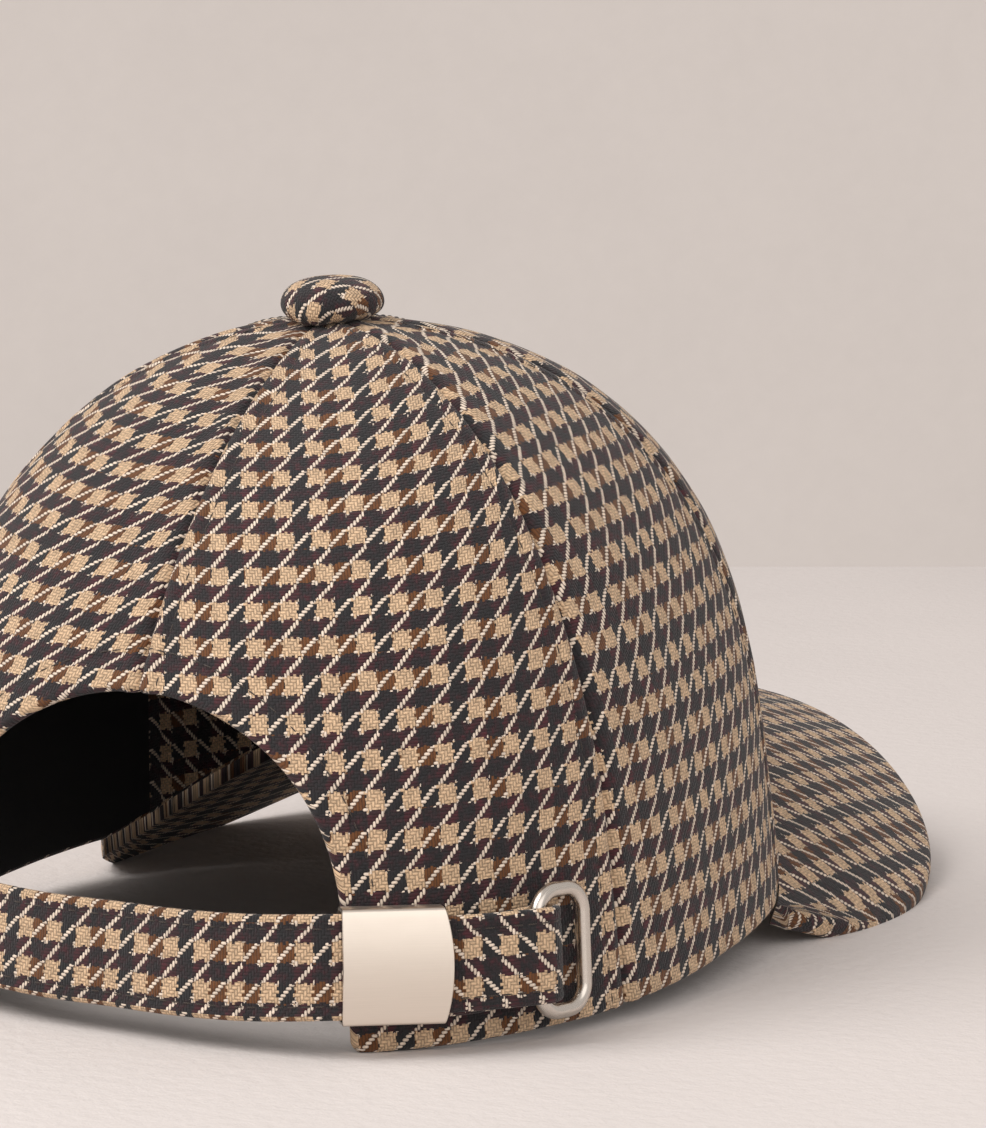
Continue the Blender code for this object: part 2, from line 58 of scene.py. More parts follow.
# Crown, the same form as the solids
CROWN_HALF_WIDTH = 0.0844
CROWN_FRONT_REACH = 0.1000
CROWN_BACK_REACH = 0.0885
CROWN_HEIGHT = 0.1240
CROWN_PLAN_POWER = 2.288
APEX_FORWARD = 0.0077
HEM_FLARE = 0.023
HEM_FLARE_HEIGHT = 0.0390
WALL = 0.0020
GAP = 0.0003
SEAM_DIP = 0.0007
SEAM_DIP_WIDTH = 0.0024
SEAM_FADE_RADIUS = 0.0200
TOP_HOLE_RADIUS = 0.0030
PROFILE = {
    # side: (outward power, upward power)
    "back": (1.528, 2.032),
    "side": (2.089, 2.533),
    "front": (1.615, 4.172),
}
BACK_SEAM = 0.0
SIDE_SEAM = 68.8
TEMPLE_SEAM = 124.0
FRONT_SEAM = 180.0

# Opening at the back, half of it
OPENING_HALF_ANGLE = 30.8
OPENING_HEIGHT = 0.0639
OPENING_WIDTH_POWER = 1.990
OPENING_HEIGHT_POWER = 4.084
OPENING_CORNER = 0.0028

# How the cap stands
TIP_BACK = 4.4
HEEL_REACH = 0.0797
REST_FLAT = 0.0005
FRAME_SHIFT = 0.0424

# Peak
PEAK_JOIN_END = 116.0
PEAK_JOIN_RISE = 0.0292
PEAK_JOIN_POWER = 1.327
PEAK_LENGTH = 0.0760
PEAK_HALF_WIDTH = 0.0980
PEAK_OUTLINE_POWER = 2.376
PEAK_THICKNESS = 0.0044
PEAK_FRONT_HEIGHT = 0.0131
PEAK_WING_HEIGHT = -0.0113
PEAK_WING_ANGLE = 76.9
PEAK_ARCH_POWER = 2.2
PEAK_FULLNESS = 0.0012
PEAK_WAIST_POWER = 5.0
PEAK_END_SHARE = 0.985
PEAK_STATIONS = 181
PEAK_STEPS = 56
PEAK_RIM_STEPS = 13

# Button
BUTTON_RADIUS = 0.0105
BUTTON_HEIGHT = 0.0085
BUTTON_OFFSET = (-0.0014, -0.0007)

# Strap, keeper and ring
STRAP_WIDTH = 0.0200
STRAP_MOUTH_WIDTH = 0.0197
STRAP_NARROW_WIDTH = 0.0180
STRAP_THICKNESS = 0.0020
STRAP_TAIL = 0.0030
MOUTH_MARGIN = 0.0012
STRAP_LINE = (
    # (degrees from the centre back, height of the middle, lean in degrees)
    (-60.0, 0.0168, 0.0),
    (20.0, 0.0168, 0.0),
    (36.4, 0.0168, 3.2),
    (57.0, 0.0151, 4.6),
)
STRAP_INSIDE = -(WALL + 2 * GAP + 0.5 * STRAP_THICKNESS)
STRAP_ROUTE = (
    # (degrees from the centre back, distance off the crown), from the left end to the keeper
    (-47.0, STRAP_INSIDE),
    (-40.0, STRAP_INSIDE),
    (-32.0, STRAP_INSIDE),
    (-22.0, -0.0042),
    (-11.0, -0.0042),
    (0.0, -0.0030),
    (11.0, -0.0008),
    (20.0, 0.0018),
)
KEEPER_ANGLE = 36.2
KEEPER_LENGTH = 0.0192
KEEPER_HEIGHT = 0.0216
KEEPER_WALL = 0.0006
KEEPER_STANDOFF = 0.0006
KEEPER_BULGE = 0.0009
KEEPER_BOW = 0.0016
RING_ANGLE = 56.8
RING_WIDTH = 0.0155
RING_HEIGHT = 0.0258
RING_WIRE = 0.0029
RING_CORNER = 0.0048
RING_STANDOFF = 0.0003
RING_PLAY = 0.0006
FOLD_SLACK = 0.0010
UNDER_LAYER_SAG = 0.0010
STRAP_FACE_STEPS = 31
STRAP_EDGE_STEPS = 6
STRAP_PATH_STEPS = 9
STRAP_ROW_DISTANCE = 0.0027
STRAP_ROW_DIP = 0.00022
KEEPER_EDGE = 0.0007
RING_CORNER_STEPS = 18
RING_SIDES = 24
STITCH_STEPS = 7
STITCH_SIDES = 6
ROW_MARGIN = 0.0010

# Relief of the sewn cloth
SEAM_GROOVE = 0.0007
SEAM_GROOVE_WIDTH = 0.0006
SEAM_ROW_DISTANCE = 0.0043
ARCH_ROW_DISTANCE = 0.0073
ROW_DIP = 0.0003
ROW_DIP_WIDTH = 0.0006
ALLOWANCE_RISE = 0.0004
PUFF_RISE = 0.0004
PUFF_WIDTH = 0.0034
RIPPLE = 0.0004

# Mesh density of the crown
COLUMN_STEP = 0.0010
ROW_STEP = 0.0013
PANEL_LENGTH = 0.175
RIM_STEPS = 7
SEAM_STEPS = (0.0, 0.00025, 0.0005, 0.0008, 0.0012, 0.0018, 0.0025, 0.0032, 0.0038, 0.0043, 0.0048, 0.0056)
FINE_STEP = 0.001
COARSE_STEP = 0.01

# The threads of one check, across and up
CHECK_THREADS = 12

# Camera and room
VIEW_PLACE = (-0.43497, 0.81912, 0.19406)
VIEW_DOWN = 7.334
VIEW_TURN = 27.119
VIEW_LENS = 140.43
VIEW_SENSOR = 36.0
TABLE_DEPTH = 1.50
WALL_DEPTH = 3.60
ROOM_WIDTH = 6.0


class CapClothSettings(bpy.types.PropertyGroup):
    """Size and colours of the checked cloth."""

    check_width: FloatProperty(
        name="Check width", description="Width of one repeat of the check",
        default=0.00695, min=0.002, max=0.03, precision=5, unit="LENGTH")
    check_height: FloatProperty(
        name="Check height", description="Height of one repeat of the check",
        default=0.0075, min=0.002, max=0.03, precision=5, unit="LENGTH")
    beige: FloatVectorProperty(
        name="Beige", description="Ground threads of the light squares",
        default=(0.62, 0.43, 0.27), min=0.0, max=1.0, size=3, subtype="COLOR")
    cream: FloatVectorProperty(
        name="Cream", description="Light floats that cross the dark threads",
        default=(0.74, 0.63, 0.53), min=0.0, max=1.0, size=3, subtype="COLOR")
    brown: FloatVectorProperty(
        name="Brown", description="Brown warp stripes",
        default=(0.135, 0.048, 0.012), min=0.0, max=1.0, size=3, subtype="COLOR")
    burgundy: FloatVectorProperty(
        name="Burgundy", description="Burgundy weft stripes",
        default=(0.075, 0.011, 0.017), min=0.0, max=1.0, size=3, subtype="COLOR")
    black: FloatVectorProperty(
        name="Black", description="Near-black threads",
        default=(0.014, 0.013, 0.015), min=0.0, max=1.0, size=3, subtype="COLOR")
    lining: FloatVectorProperty(
        name="Lining", description="Cloth of the inner faces of the back and side panels",
        default=(0.006, 0.006, 0.007), min=0.0, max=1.0, size=3, subtype="COLOR")
    weave_depth: FloatProperty(
        name="Weave depth", description="Height of the floats above the ground of the weave",
        default=0.00022, min=0.0, max=0.002, precision=5, unit="LENGTH")


class CapTrimSettings(bpy.types.PropertyGroup):
    """Sizes and colours of the sewing thread and the metal."""

    stitch_length: FloatProperty(
        name="Stitch length", description="From hole to hole",
        default=0.0027, min=0.001, max=0.01, precision=5, unit="LENGTH")
    thread_width: FloatProperty(
        name="Thread width", description="Diameter of the sewing thread",
        default=0.00030, min=0.0001, max=0.002, precision=5, unit="LENGTH")
    thread: FloatVectorProperty(
        name="Thread", description="Colour of the sewing thread",
        default=(0.030, 0.018, 0.012), min=0.0, max=1.0, size=3, subtype="COLOR")
    keeper: FloatVectorProperty(
        name="Keeper", description="Brushed metal of the keeper",
        default=(0.72, 0.64, 0.56), min=0.0, max=1.0, size=3, subtype="COLOR")
    ring: FloatVectorProperty(
        name="Ring", description="Satin metal of the ring",
        default=(0.66, 0.60, 0.54), min=0.0, max=1.0, size=3, subtype="COLOR")
    gathers: IntProperty(
        name="Gathers", description="Folds round the button", default=11, min=3, max=30)


class CapStageSettings(bpy.types.PropertyGroup):
    """Colours and light of the studio."""

    table: FloatVectorProperty(
        name="Table", description="Colour of the table top",
        default=(0.69, 0.64, 0.62), min=0.0, max=1.0, size=3, subtype="COLOR")
    wall: FloatVectorProperty(
        name="Wall", description="Colour of the wall behind",
        default=(0.86, 0.79, 0.75), min=0.0, max=1.0, size=3, subtype="COLOR")
    key_power: FloatProperty(
        name="Key light", description="Strength of the large soft light at the left",
        default=18.0, min=0.0, max=200.0, unit="POWER")
    room_light: FloatProperty(
        name="Room light", description="Strength of the even light of the room",
        default=0.62, min=0.0, max=5.0)


def profile_powers(phi):
    """Outward and upward powers of the crown's profile on the meridian phi."""
    toward_back = np.maximum(np.cos(phi), 0.0) ** 2
    toward_front = np.maximum(-np.cos(phi), 0.0) ** 2
    return [
        side + (back - side) * toward_back + (front - side) * toward_front
        for back, side, front in zip(PROFILE["back"], PROFILE["side"], PROFILE["front"])
    ]


def plan_radius(phi):
    """Radius of the hem's outline seen from above."""
    reach = np.where(np.cos(phi) > 0, CROWN_BACK_REACH, CROWN_FRONT_REACH)
    across = np.abs(np.sin(phi)) / CROWN_HALF_WIDTH
    along = np.abs(np.cos(phi)) / reach
    return (across ** CROWN_PLAN_POWER + along ** CROWN_PLAN_POWER) ** (-1.0 / CROWN_PLAN_POWER)


def climb_at(phi, height):
    """Profile parameter, 0 at the hem and pi / 2 at the apex, of a height on the crown."""
    upward = profile_powers(phi)[1]
    return np.arcsin(np.clip(np.asarray(height) / CROWN_HEIGHT, 0.0, 1.0) ** (upward / 2.0))


def climb_at_radius(phi, radius):
    """Profile parameter where the crown has closed in to a radius."""
    outward = profile_powers(phi)[0]
    return np.arccos((radius / plan_radius(phi)) ** (outward / 2.0))


def seam_dip(phi, radius):
    """How far the cloth is pulled in beside the nearest seam."""
    angle = np.abs(np.degrees(phi))
    nearest = np.min([np.abs(angle - seam) for seam in (BACK_SEAM, SIDE_SEAM, TEMPLE_SEAM, FRONT_SEAM)], axis=0)
    return SEAM_DIP * np.exp(-((np.radians(nearest) * radius / SEAM_DIP_WIDTH) ** 2))


def crown_point(phi, climb):
    """Points of the crown's outer surface, in the crown's own frame."""
    phi, climb = np.broadcast_arrays(np.asarray(phi, float), np.asarray(climb, float))
    outward, upward = profile_powers(phi)
    closed = np.maximum(np.cos(climb), 0.0) ** (2.0 / outward)
    height = CROWN_HEIGHT * np.maximum(np.sin(climb), 0.0) ** (2.0 / upward)
    flare = 1.0 + HEM_FLARE * np.maximum(1.0 - height / HEM_FLARE_HEIGHT, 0.0) ** 2
    radius = plan_radius(phi) * closed * flare
    radius = radius - seam_dip(phi, radius) * np.minimum(radius / SEAM_FADE_RADIUS, 1.0)
    forward = APEX_FORWARD * (1.0 - closed)
    return np.stack((-radius * np.sin(phi), radius * np.cos(phi) - forward, height), axis=-1)


def unit(vectors):
    """Vectors of length one."""
    return vectors / np.linalg.norm(vectors, axis=-1, keepdims=True)


def crown_normal(phi, climb):
    """Outward unit normals of the crown."""
    climb = np.clip(climb, 2 * FINE_STEP, math.pi / 2 - 2 * FINE_STEP)
    across = crown_point(phi + FINE_STEP, climb) - crown_point(phi - FINE_STEP, climb)
    upward = crown_point(phi, climb + FINE_STEP) - crown_point(phi, climb - FINE_STEP)
    return unit(np.cross(across, upward))


def settle(points):
    """From the crown's frame to the cap as it stands."""
    points = np.asarray(points, float)
    tip = math.radians(TIP_BACK)
    lift = HEEL_REACH * math.sin(tip) - REST_FLAT
    x, y, z = points[..., 0], points[..., 1], points[..., 2]
    settled_y = y * math.cos(tip) + z * math.sin(tip) + FRAME_SHIFT
    settled_z = -y * math.sin(tip) + z * math.cos(tip) + lift
    return np.stack((x, settled_y, np.maximum(settled_z, 0.0)), axis=-1)


def opening_height(phi):
    """Height of the back opening's edge on a meridian, and 0 beyond it."""
    share = np.minimum(np.abs(np.degrees(phi)) / OPENING_HALF_ANGLE, 1.0)
    return OPENING_HEIGHT * (1.0 - share ** OPENING_WIDTH_POWER) ** (1.0 / OPENING_HEIGHT_POWER)


def join_height(phi):
    """Height of the crown's lower edge where the peak is sewn on, and 0 beside it."""
    start = math.radians(PEAK_JOIN_END)
    share = np.clip((np.abs(phi) - start) / (math.pi - start), 0.0, 1.0)
    return PEAK_JOIN_RISE * np.sin(share * math.pi / 2) ** PEAK_JOIN_POWER


class Skin:
    """Gathers grids of points into one mesh, with each corner's place on the cloth."""

    def __init__(self):
        self.shape = bmesh.new()
        self.cloth = self.shape.loops.layers.uv.new("cloth")

    def grid(self, points, cloth, material=0, wrap=False):
        """Skin a grid of points; cloth holds as many places, or one more column where it wraps."""
        points = np.asarray(points, float)
        cloth = np.asarray(cloth, float)
        verts = [[self.shape.verts.new(p) for p in column] for column in points.tolist()]
        places = cloth.tolist()
        columns, rows = points.shape[:2]
        for i in range(columns if wrap else columns - 1):
            k = (i + 1) % columns
            for j in range(rows - 1):
                face = self.shape.faces.new((verts[i][j], verts[k][j], verts[k][j + 1], verts[i][j + 1]))
                face.material_index = material
                face.smooth = True
                corners = (places[i][j], places[i + 1][j], places[i + 1][j + 1], places[i][j + 1])
                for loop, place in zip(face.loops, corners):
                    loop[self.cloth].uv = place[:2]
        return verts

    def fan(self, points, cloth, material=0):
        """One flat face through a ring of points."""
        face = self.shape.faces.new([self.shape.verts.new(tuple(p)) for p in points])
        face.material_index = material
        for loop, place in zip(face.loops, cloth):
            loop[self.cloth].uv = tuple(place)[:2]

    def finish(self, name, materials, sharp=50.0):
        """Weld the grids, turn every face outward and make the object."""
        bmesh.ops.remove_doubles(self.shape, verts=self.shape.verts, dist=1e-6)
        bmesh.ops.recalc_face_normals(self.shape, faces=self.shape.faces)
        mesh = bpy.data.meshes.new(name)
        self.shape.to_mesh(mesh)
        self.shape.free()
        for material in materials:
            mesh.materials.append(material)
        mesh.shade_smooth()
        mesh.set_sharp_from_angle(angle=math.radians(sharp))
        piece = bpy.data.objects.new(name, mesh)
        bpy.context.scene.collection.objects.link(piece)
        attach(piece, "root")
        return piece


class Sum:
    """A number inside a node tree, so that its sums read as plain arithmetic."""

    def __init__(self, tree, socket):
        self.tree = tree
        self.socket = socket

    def do(self, operation, *others):
        """A Math node with this number first."""
        node = self.tree.nodes.new("ShaderNodeMath")
        node.operation = operation
        for slot, value in zip(node.inputs, (self, *others)):
            if isinstance(value, Sum):
                self.tree.links.new(value.socket, slot)
            else:
                slot.default_value = value
        return Sum(self.tree, node.outputs[0])

    def __add__(self, other):
        return self.do("ADD", other)

    def __radd__(self, other):
        return self.do("ADD", other)

    def __sub__(self, other):
        return self.do("SUBTRACT", other)

    def __rsub__(self, other):
        return self.do("MULTIPLY_ADD", -1.0, other)

    def __mul__(self, other):
        return self.do("MULTIPLY", other)

    def __rmul__(self, other):
        return self.do("MULTIPLY", other)

    def __truediv__(self, other):
        return self.do("DIVIDE", other)

    def __abs__(self):
        return self.do("ABSOLUTE")

    def floor(self):
        """The whole number below."""
        return self.do("FLOOR")

    def part(self):
        """What is left above the whole number."""
        return self.do("FRACT")

    def over(self, length):
        """What is left over from whole lengths."""
        return self.do("FLOORED_MODULO", length)

    def below(self, limit):
        """1 where it is less than the limit, or else 0."""
        return self.do("LESS_THAN", limit)

    def power(self, exponent):
        """Raised to a power."""
        return self.do("POWER", exponent)

    def pick(self, first, second):
        """The first number where this one is 0, the second where it is 1."""
        if isinstance(second, Sum):
            return (second - first) * self + first
        return ((first * -1.0) + second) * self + first

    def differs(self, other):
        """1 where two flags differ."""
        return abs(self - other)


def random_value(tree, x, y, seed):
    """A random number from 0 to 1 for each whole x and y."""
    join = tree.nodes.new("ShaderNodeCombineXYZ")
    for slot, value in zip(join.inputs, (x, y)):
        if isinstance(value, Sum):
            tree.links.new(value.socket, slot)
        else:
            slot.default_value = value
    join.inputs[2].default_value = seed
    noise = tree.nodes.new("ShaderNodeTexWhiteNoise")
    noise.noise_dimensions = "3D"
    tree.links.new(join.outputs[0], noise.inputs["Vector"])
    return Sum(tree, noise.outputs["Value"])


def soft_noise(tree, vector, scale, detail=2.0, roughness=0.5):
    """Smooth noise from 0 to 1 over a vector socket."""
    noise = tree.nodes.new("ShaderNodeTexNoise")
    noise.noise_dimensions = "3D"
    noise.inputs["Scale"].default_value = scale
    noise.inputs["Detail"].default_value = detail
    noise.inputs["Roughness"].default_value = roughness
    tree.links.new(vector, noise.inputs["Vector"])
    return Sum(tree, noise.outputs["Fac"])


def mix_colours(tree, factor, first, second, blend="MIX"):
    """Blend two colours, each a socket or three numbers."""
    node = tree.nodes.new("ShaderNodeMix")
    node.data_type = "RGBA"
    node.blend_type = blend
    for slot, value in ((node.inputs[0], factor), (node.inputs[6], first), (node.inputs[7], second)):
        if isinstance(value, Sum):
            tree.links.new(value.socket, slot)
        elif isinstance(value, bpy.types.NodeSocket):
            tree.links.new(value, slot)
        elif isinstance(value, float):
            slot.default_value = value
        else:
            slot.default_value = (*value, 1.0)
    return node.outputs[2]


def grey(tree, value):
    """A number as a grey colour."""
    join = tree.nodes.new("ShaderNodeCombineColor")
    for slot in join.inputs:
        tree.links.new(value.socket, slot)
    return join.outputs[0]


def tweed_group(cloth):
    """Node group that weaves the check, with its colour and its height, from a place in metres."""
    existing = bpy.data.node_groups.get("tweed")
    if existing:
        return existing
    tree = bpy.data.node_groups.new("tweed", "ShaderNodeTree")
    tree.interface.new_socket("Place", in_out="INPUT", socket_type="NodeSocketVector")
    tree.interface.new_socket("Colour", in_out="OUTPUT", socket_type="NodeSocketColor")
    tree.interface.new_socket("Height", in_out="OUTPUT", socket_type="NodeSocketFloat")
    inside = tree.nodes.new("NodeGroupInput")
    outside = tree.nodes.new("NodeGroupOutput")
    place = inside.outputs["Place"]
    split = tree.nodes.new("ShaderNodeSeparateXYZ")
    tree.links.new(place, split.inputs[0])

    # Threads counted across (warp) and up (weft), a little unsteady
    half = CHECK_THREADS // 2
    unsteady_x = soft_noise(tree, place, 260.0) - 0.5
    unsteady_y = soft_noise(tree, place, 290.0) - 0.5
    across = Sum(tree, split.outputs[0]) / (cloth.check_width / CHECK_THREADS) + unsteady_x * 0.7
    up = Sum(tree, split.outputs[1]) / (cloth.check_height / CHECK_THREADS) + unsteady_y * 0.7
    warp, weft = across.floor(), up.floor()
    across_share, up_share = across.part(), up.part()

    # Which stripe a crossing belongs to, with ragged edges
    ragged_across = (across + (random_value(tree, 0.0, weft, 3.0) - 0.5) * 1.2).floor()
    ragged_up = (up + (random_value(tree, warp, 0.0, 5.0) - 0.5) * 1.2).floor()
    warp_dark = 1.0 - ragged_across.over(CHECK_THREADS).below(half - 0.5)
    weft_dark = 1.0 - ragged_up.over(CHECK_THREADS).below(half - 0.5)
    mixed = warp_dark.differs(weft_dark)

    # The weave: plain squares are a 2/2 twill, mixed ones let one diagonal of light floats through
    twill = (warp - weft).over(4.0)
    diagonal = (warp - weft + warp_dark).over(6.0)
    step = mixed.pick(twill, diagonal)
    first = step.below(1.5)
    warp_on_top = mixed.pick(first, first.differs(warp_dark))
    float_length = first.pick(mixed * 2.0 + 2.0, 2.0)
    along_weft = step - (1.0 - first) * 2.0 + across_share
    along_warp = float_length - 1.0 - (step - (1.0 - first) * 2.0) + up_share
    along = warp_on_top.pick(along_weft, along_warp) / float_length
    beside = warp_on_top.pick(up_share, across_share)
    end_drop = abs(along * 2.0 - 1.0).power(3.0)
    side_drop = abs(beside * 2.0 - 1.0).power(2.2)
    dome = (1.0 - end_drop * 0.75 - side_drop * 0.85).do("MAXIMUM", 0.0)
    light_on_top = warp_on_top.pick(1.0 - weft_dark, 1.0 - warp_dark)
    oval = (end_drop + side_drop).below(0.95)
    light = light_on_top * mixed.pick(1.0, 0.0).do("MAXIMUM", oval)

    # Colours of the dark threads
    group_x, group_y = (across / CHECK_THREADS).floor(), (up / CHECK_THREADS).floor()
    patch = soft_noise(tree, place, 520.0, 1.0)
    swap_x = random_value(tree, group_x, group_y, 11.0).below(0.16)
    brown_stripe = group_x.over(2.0).differs(swap_x)
    warp_colour = mix_colours(tree, brown_stripe * 0.92, cloth.black, cloth.brown)
    burgundy_here = (patch * 1.6 - 0.42 + group_y.over(2.0) * 0.12).do("MINIMUM", 1.0).do("MAXIMUM", 0.0)
    weft_colour = mix_colours(tree, burgundy_here, cloth.black, cloth.burgundy)
    both_colour = mix_colours(tree, burgundy_here.power(3.0), cloth.black, cloth.burgundy)
    dark_colour = mix_colours(tree, weft_dark, warp_colour, weft_colour)
    dark_colour = mix_colours(tree, warp_dark * weft_dark, dark_colour, both_colour)
    light_colour = mix_colours(tree, mixed * 0.85, cloth.beige, cloth.cream)
    colour = mix_colours(tree, light, dark_colour, light_colour)

    # Every float a little lighter or darker, painted shade in the crevices between the floats and a fuzz of stray
    # fibres
    own_tone = random_value(tree, warp_on_top.pick((warp / 2.0).floor(), warp),
                            warp_on_top.pick(weft, (weft / 2.0).floor()), 17.0)
    fuzz = soft_noise(tree, place, 5200.0, 3.0, 0.7)
    # The dome term is painted shade: each float is darker towards its ends and sides, where the crevices between
    # floats lie
    tone = (own_tone - 0.5) * 0.34 + (fuzz - 0.5) * 0.8 + dome * 0.50 + 0.62
    tree.links.new(mix_colours(tree, 1.0, colour, grey(tree, tone), "MULTIPLY"), outside.inputs["Colour"])
    height = dome * (light * 0.35 + 0.65) + fuzz * 0.35
    tree.links.new(height.socket, outside.inputs["Height"])
    return tree


def new_material(name, colour, roughness, metallic=0.0, sheen=0.0):
    """A material with one finish, and its shader."""
    material = bpy.data.materials.new(name)
    material.use_nodes = True
    shader = material.node_tree.nodes["Principled BSDF"]
    shader.inputs["Base Color"].default_value = (*colour, 1.0)
    shader.inputs["Roughness"].default_value = roughness
    shader.inputs["Metallic"].default_value = metallic
    shader.inputs["Sheen Weight"].default_value = sheen
    shader.inputs["Sheen Roughness"].default_value = 0.5
    return material, shader


def bump(tree, shader, height, depth, strength=1.0):
    """Raise the surface by a height from 0 to 1 times a depth in metres."""
    node = tree.nodes.new("ShaderNodeBump")
    node.inputs["Strength"].default_value = strength
    node.inputs["Distance"].default_value = depth
    tree.links.new(height, node.inputs["Height"])
    tree.links.new(node.outputs[0], shader.inputs["Normal"])


def tweed_material(name, cloth):
    """Checked wool, woven from the piece's own cloth map."""
    material, shader = new_material(name, cloth.beige, roughness=0.92, sheen=0.12)
    tree = material.node_tree
    place = tree.nodes.new("ShaderNodeUVMap")
    place.uv_map = "cloth"
    weave = tree.nodes.new("ShaderNodeGroup")
    weave.node_tree = tweed_group(cloth)
    tree.links.new(place.outputs[0], weave.inputs["Place"])
    tree.links.new(weave.outputs["Colour"], shader.inputs["Base Color"])
    bump(tree, shader, weave.outputs["Height"], cloth.weave_depth)
    return material


def lining_material(cloth):
    """Close black lining."""
    material, shader = new_material("lining_cloth", cloth.lining, roughness=0.8)
    tree = material.node_tree
    place = tree.nodes.new("ShaderNodeUVMap")
    place.uv_map = "cloth"
    threads = soft_noise(tree, place.outputs[0], 3000.0)
    bump(tree, shader, threads.socket, 0.0001)
    return material


def shared(name, make):
    """The material of that name, made the first time that it is asked for."""
    return bpy.data.materials.get(name) or make()


GORES = {
    # name: (first seam, second seam, row beside the first, row beside the second, turned left)
    "panel_back_right": (BACK_SEAM, SIDE_SEAM, True, True, False),
    "panel_back_left": (BACK_SEAM, SIDE_SEAM, False, True, True),
    "panel_side_right": (SIDE_SEAM, TEMPLE_SEAM, False, True, False),
    "panel_side_left": (SIDE_SEAM, TEMPLE_SEAM, False, True, True),
    "panel_front_right": (TEMPLE_SEAM, FRONT_SEAM, False, True, False),
    "panel_front_left": (TEMPLE_SEAM, FRONT_SEAM, False, False, True),
}


def meridian(phi, bottom, top, count):
    """Climbs at even steps of arc from a lower to an upper climb, and the arcs from the hem."""
    upward = profile_powers(phi)[1]
    dense = math.pi / 2 * np.linspace(0.0, 1.0, 700) ** (upward / 2.0)
    points = crown_point(np.full_like(dense, phi), dense)
    arc = np.concatenate(([0.0], np.cumsum(np.linalg.norm(np.diff(points, axis=0), axis=1))))
    low, high = np.interp((bottom, top), dense, arc)
    arcs = np.linspace(low, high, count)
    return np.interp(arcs, arc, dense), arcs


def edge_line(first, second):
    """The cloth's lower edge between two seams, as (phi, height) at close steps."""
    start, stop = math.radians(first), math.radians(second)
    if first > 0.0:
        phi = np.linspace(start, stop, int((stop - start) * CROWN_BACK_REACH / COLUMN_STEP))
        return np.stack((phi, join_height(phi)), axis=1)
    half = math.radians(OPENING_HALF_ANGLE)
    turns = np.radians(np.linspace(0.0, 90.0, 74))
    phi = half * np.sin(turns) ** (2.0 / OPENING_WIDTH_POWER)
    height = opening_height(phi)
    keep = height > OPENING_CORNER
    arch = np.stack((phi[keep], height[keep]), axis=1)
    drop = np.linspace(arch[-1, 1], OPENING_CORNER, 24)[1:]
    side = np.stack((np.full_like(drop, half), drop), axis=1)
    turn = np.radians(np.linspace(0.0, 90.0, 9))[1:]
    corner = np.stack((half + OPENING_CORNER / CROWN_BACK_REACH * (1.0 - np.cos(turn)),
                       OPENING_CORNER * (1.0 - np.sin(turn))), axis=1)
    begin = corner[-1, 0]
    hem = np.linspace(begin, stop, int((stop - begin) * CROWN_BACK_REACH / COLUMN_STEP))[1:]
    return np.concatenate((arch, side, corner, np.stack((hem, np.zeros_like(hem)), axis=1)))


def inward(edge):
    """Unit normals of the edge line in the cloth's surface, pointing into the cloth."""
    metric = edge * (CROWN_BACK_REACH, 1.0)
    run = unit(np.gradient(metric, axis=0))
    return np.stack((-run[:, 1], run[:, 0]), axis=1)


def gore_columns(edge, seams):
    """Bottoms of a gore's columns: close together beside both seams, else along the edge line."""
    start, stop = (math.radians(seam) for seam in seams)
    steps = np.array(SEAM_STEPS) / CROWN_BACK_REACH
    first, last = start + steps, stop - steps[::-1]
    between = edge[(edge[:, 0] > first[-1] + 0.3 * steps[-1]) & (edge[:, 0] < last[0] - 0.3 * steps[-1])]
    ends = [np.stack((phi, np.interp(phi, edge[:, 0], edge[:, 1])), axis=1) for phi in (first, last)]
    return np.concatenate((ends[0], between, ends[1]))


def gore_grid(seams, rows):
    """Angles, climbs and arcs from the hem of a gore's grid, and its true lower edge."""
    edge = gore_columns(edge_line(*seams), seams)
    shift = inward(edge) * 0.5 * WALL
    start, stop = (math.radians(seam) for seam in seams)
    low_phi = np.clip(edge[:, 0] + shift[:, 0] / CROWN_BACK_REACH, edge[0, 0], edge[-1, 0])
    low_height = edge[:, 1] + np.maximum(shift[:, 1], 0.0)
    climbs, arcs = [], []
    for phi, height in zip(low_phi, low_height):
        bottom, top = float(climb_at(phi, height)), float(climb_at_radius(phi, TOP_HOLE_RADIUS))
        climb, arc = meridian(phi, bottom, top, rows)
        climbs.append(climb)
        arcs.append(arc)
    climbs, arcs = np.array(climbs), np.array(arcs)
    radii = np.hypot(*np.moveaxis(crown_point(low_phi[:, None], climbs)[..., :2], -1, 0))
    fixed = len(SEAM_STEPS)
    room = np.minimum(radii * (stop - start) / (4.0 * SEAM_STEPS[-1]), 1.0)
    phis = np.empty_like(climbs)
    for k, step in enumerate(SEAM_STEPS):
        phis[k] = start + step * room[k] / radii[k]
        phis[-1 - k] = stop - step * room[-1 - k] / radii[-1 - k]
    share = (low_phi - low_phi[fixed - 1]) / (low_phi[-fixed] - low_phi[fixed - 1])
    for c in range(fixed, len(low_phi) - fixed):
        phis[c] = phis[fixed - 1] + (phis[-fixed] - phis[fixed - 1]) * share[c]
    return phis, climbs, arcs, edge


def parallel_arc(phis, climbs, middle):
    """Length along each parallel from a middle meridian, more towards the wearer's right."""
    total = np.zeros_like(phis)
    before = crown_point(np.full_like(phis, middle), climbs)
    for share in np.linspace(0.0, 1.0, 13)[1:]:
        point = crown_point(middle + (phis - middle) * share, climbs)
        total += np.linalg.norm(point - before, axis=-1)
        before = point
    return total * np.sign(phis - middle)


def hump(distance, centre, width):
    """A smooth rise of height one."""
    return np.exp(-(((distance - centre) / width) ** 2))


def plateau(distance, low, high, soft):
    """One between two distances, with soft ends."""
    return 1.0 / (1.0 + np.exp(-(distance - low) / soft)) / (1.0 + np.exp((distance - high) / soft))


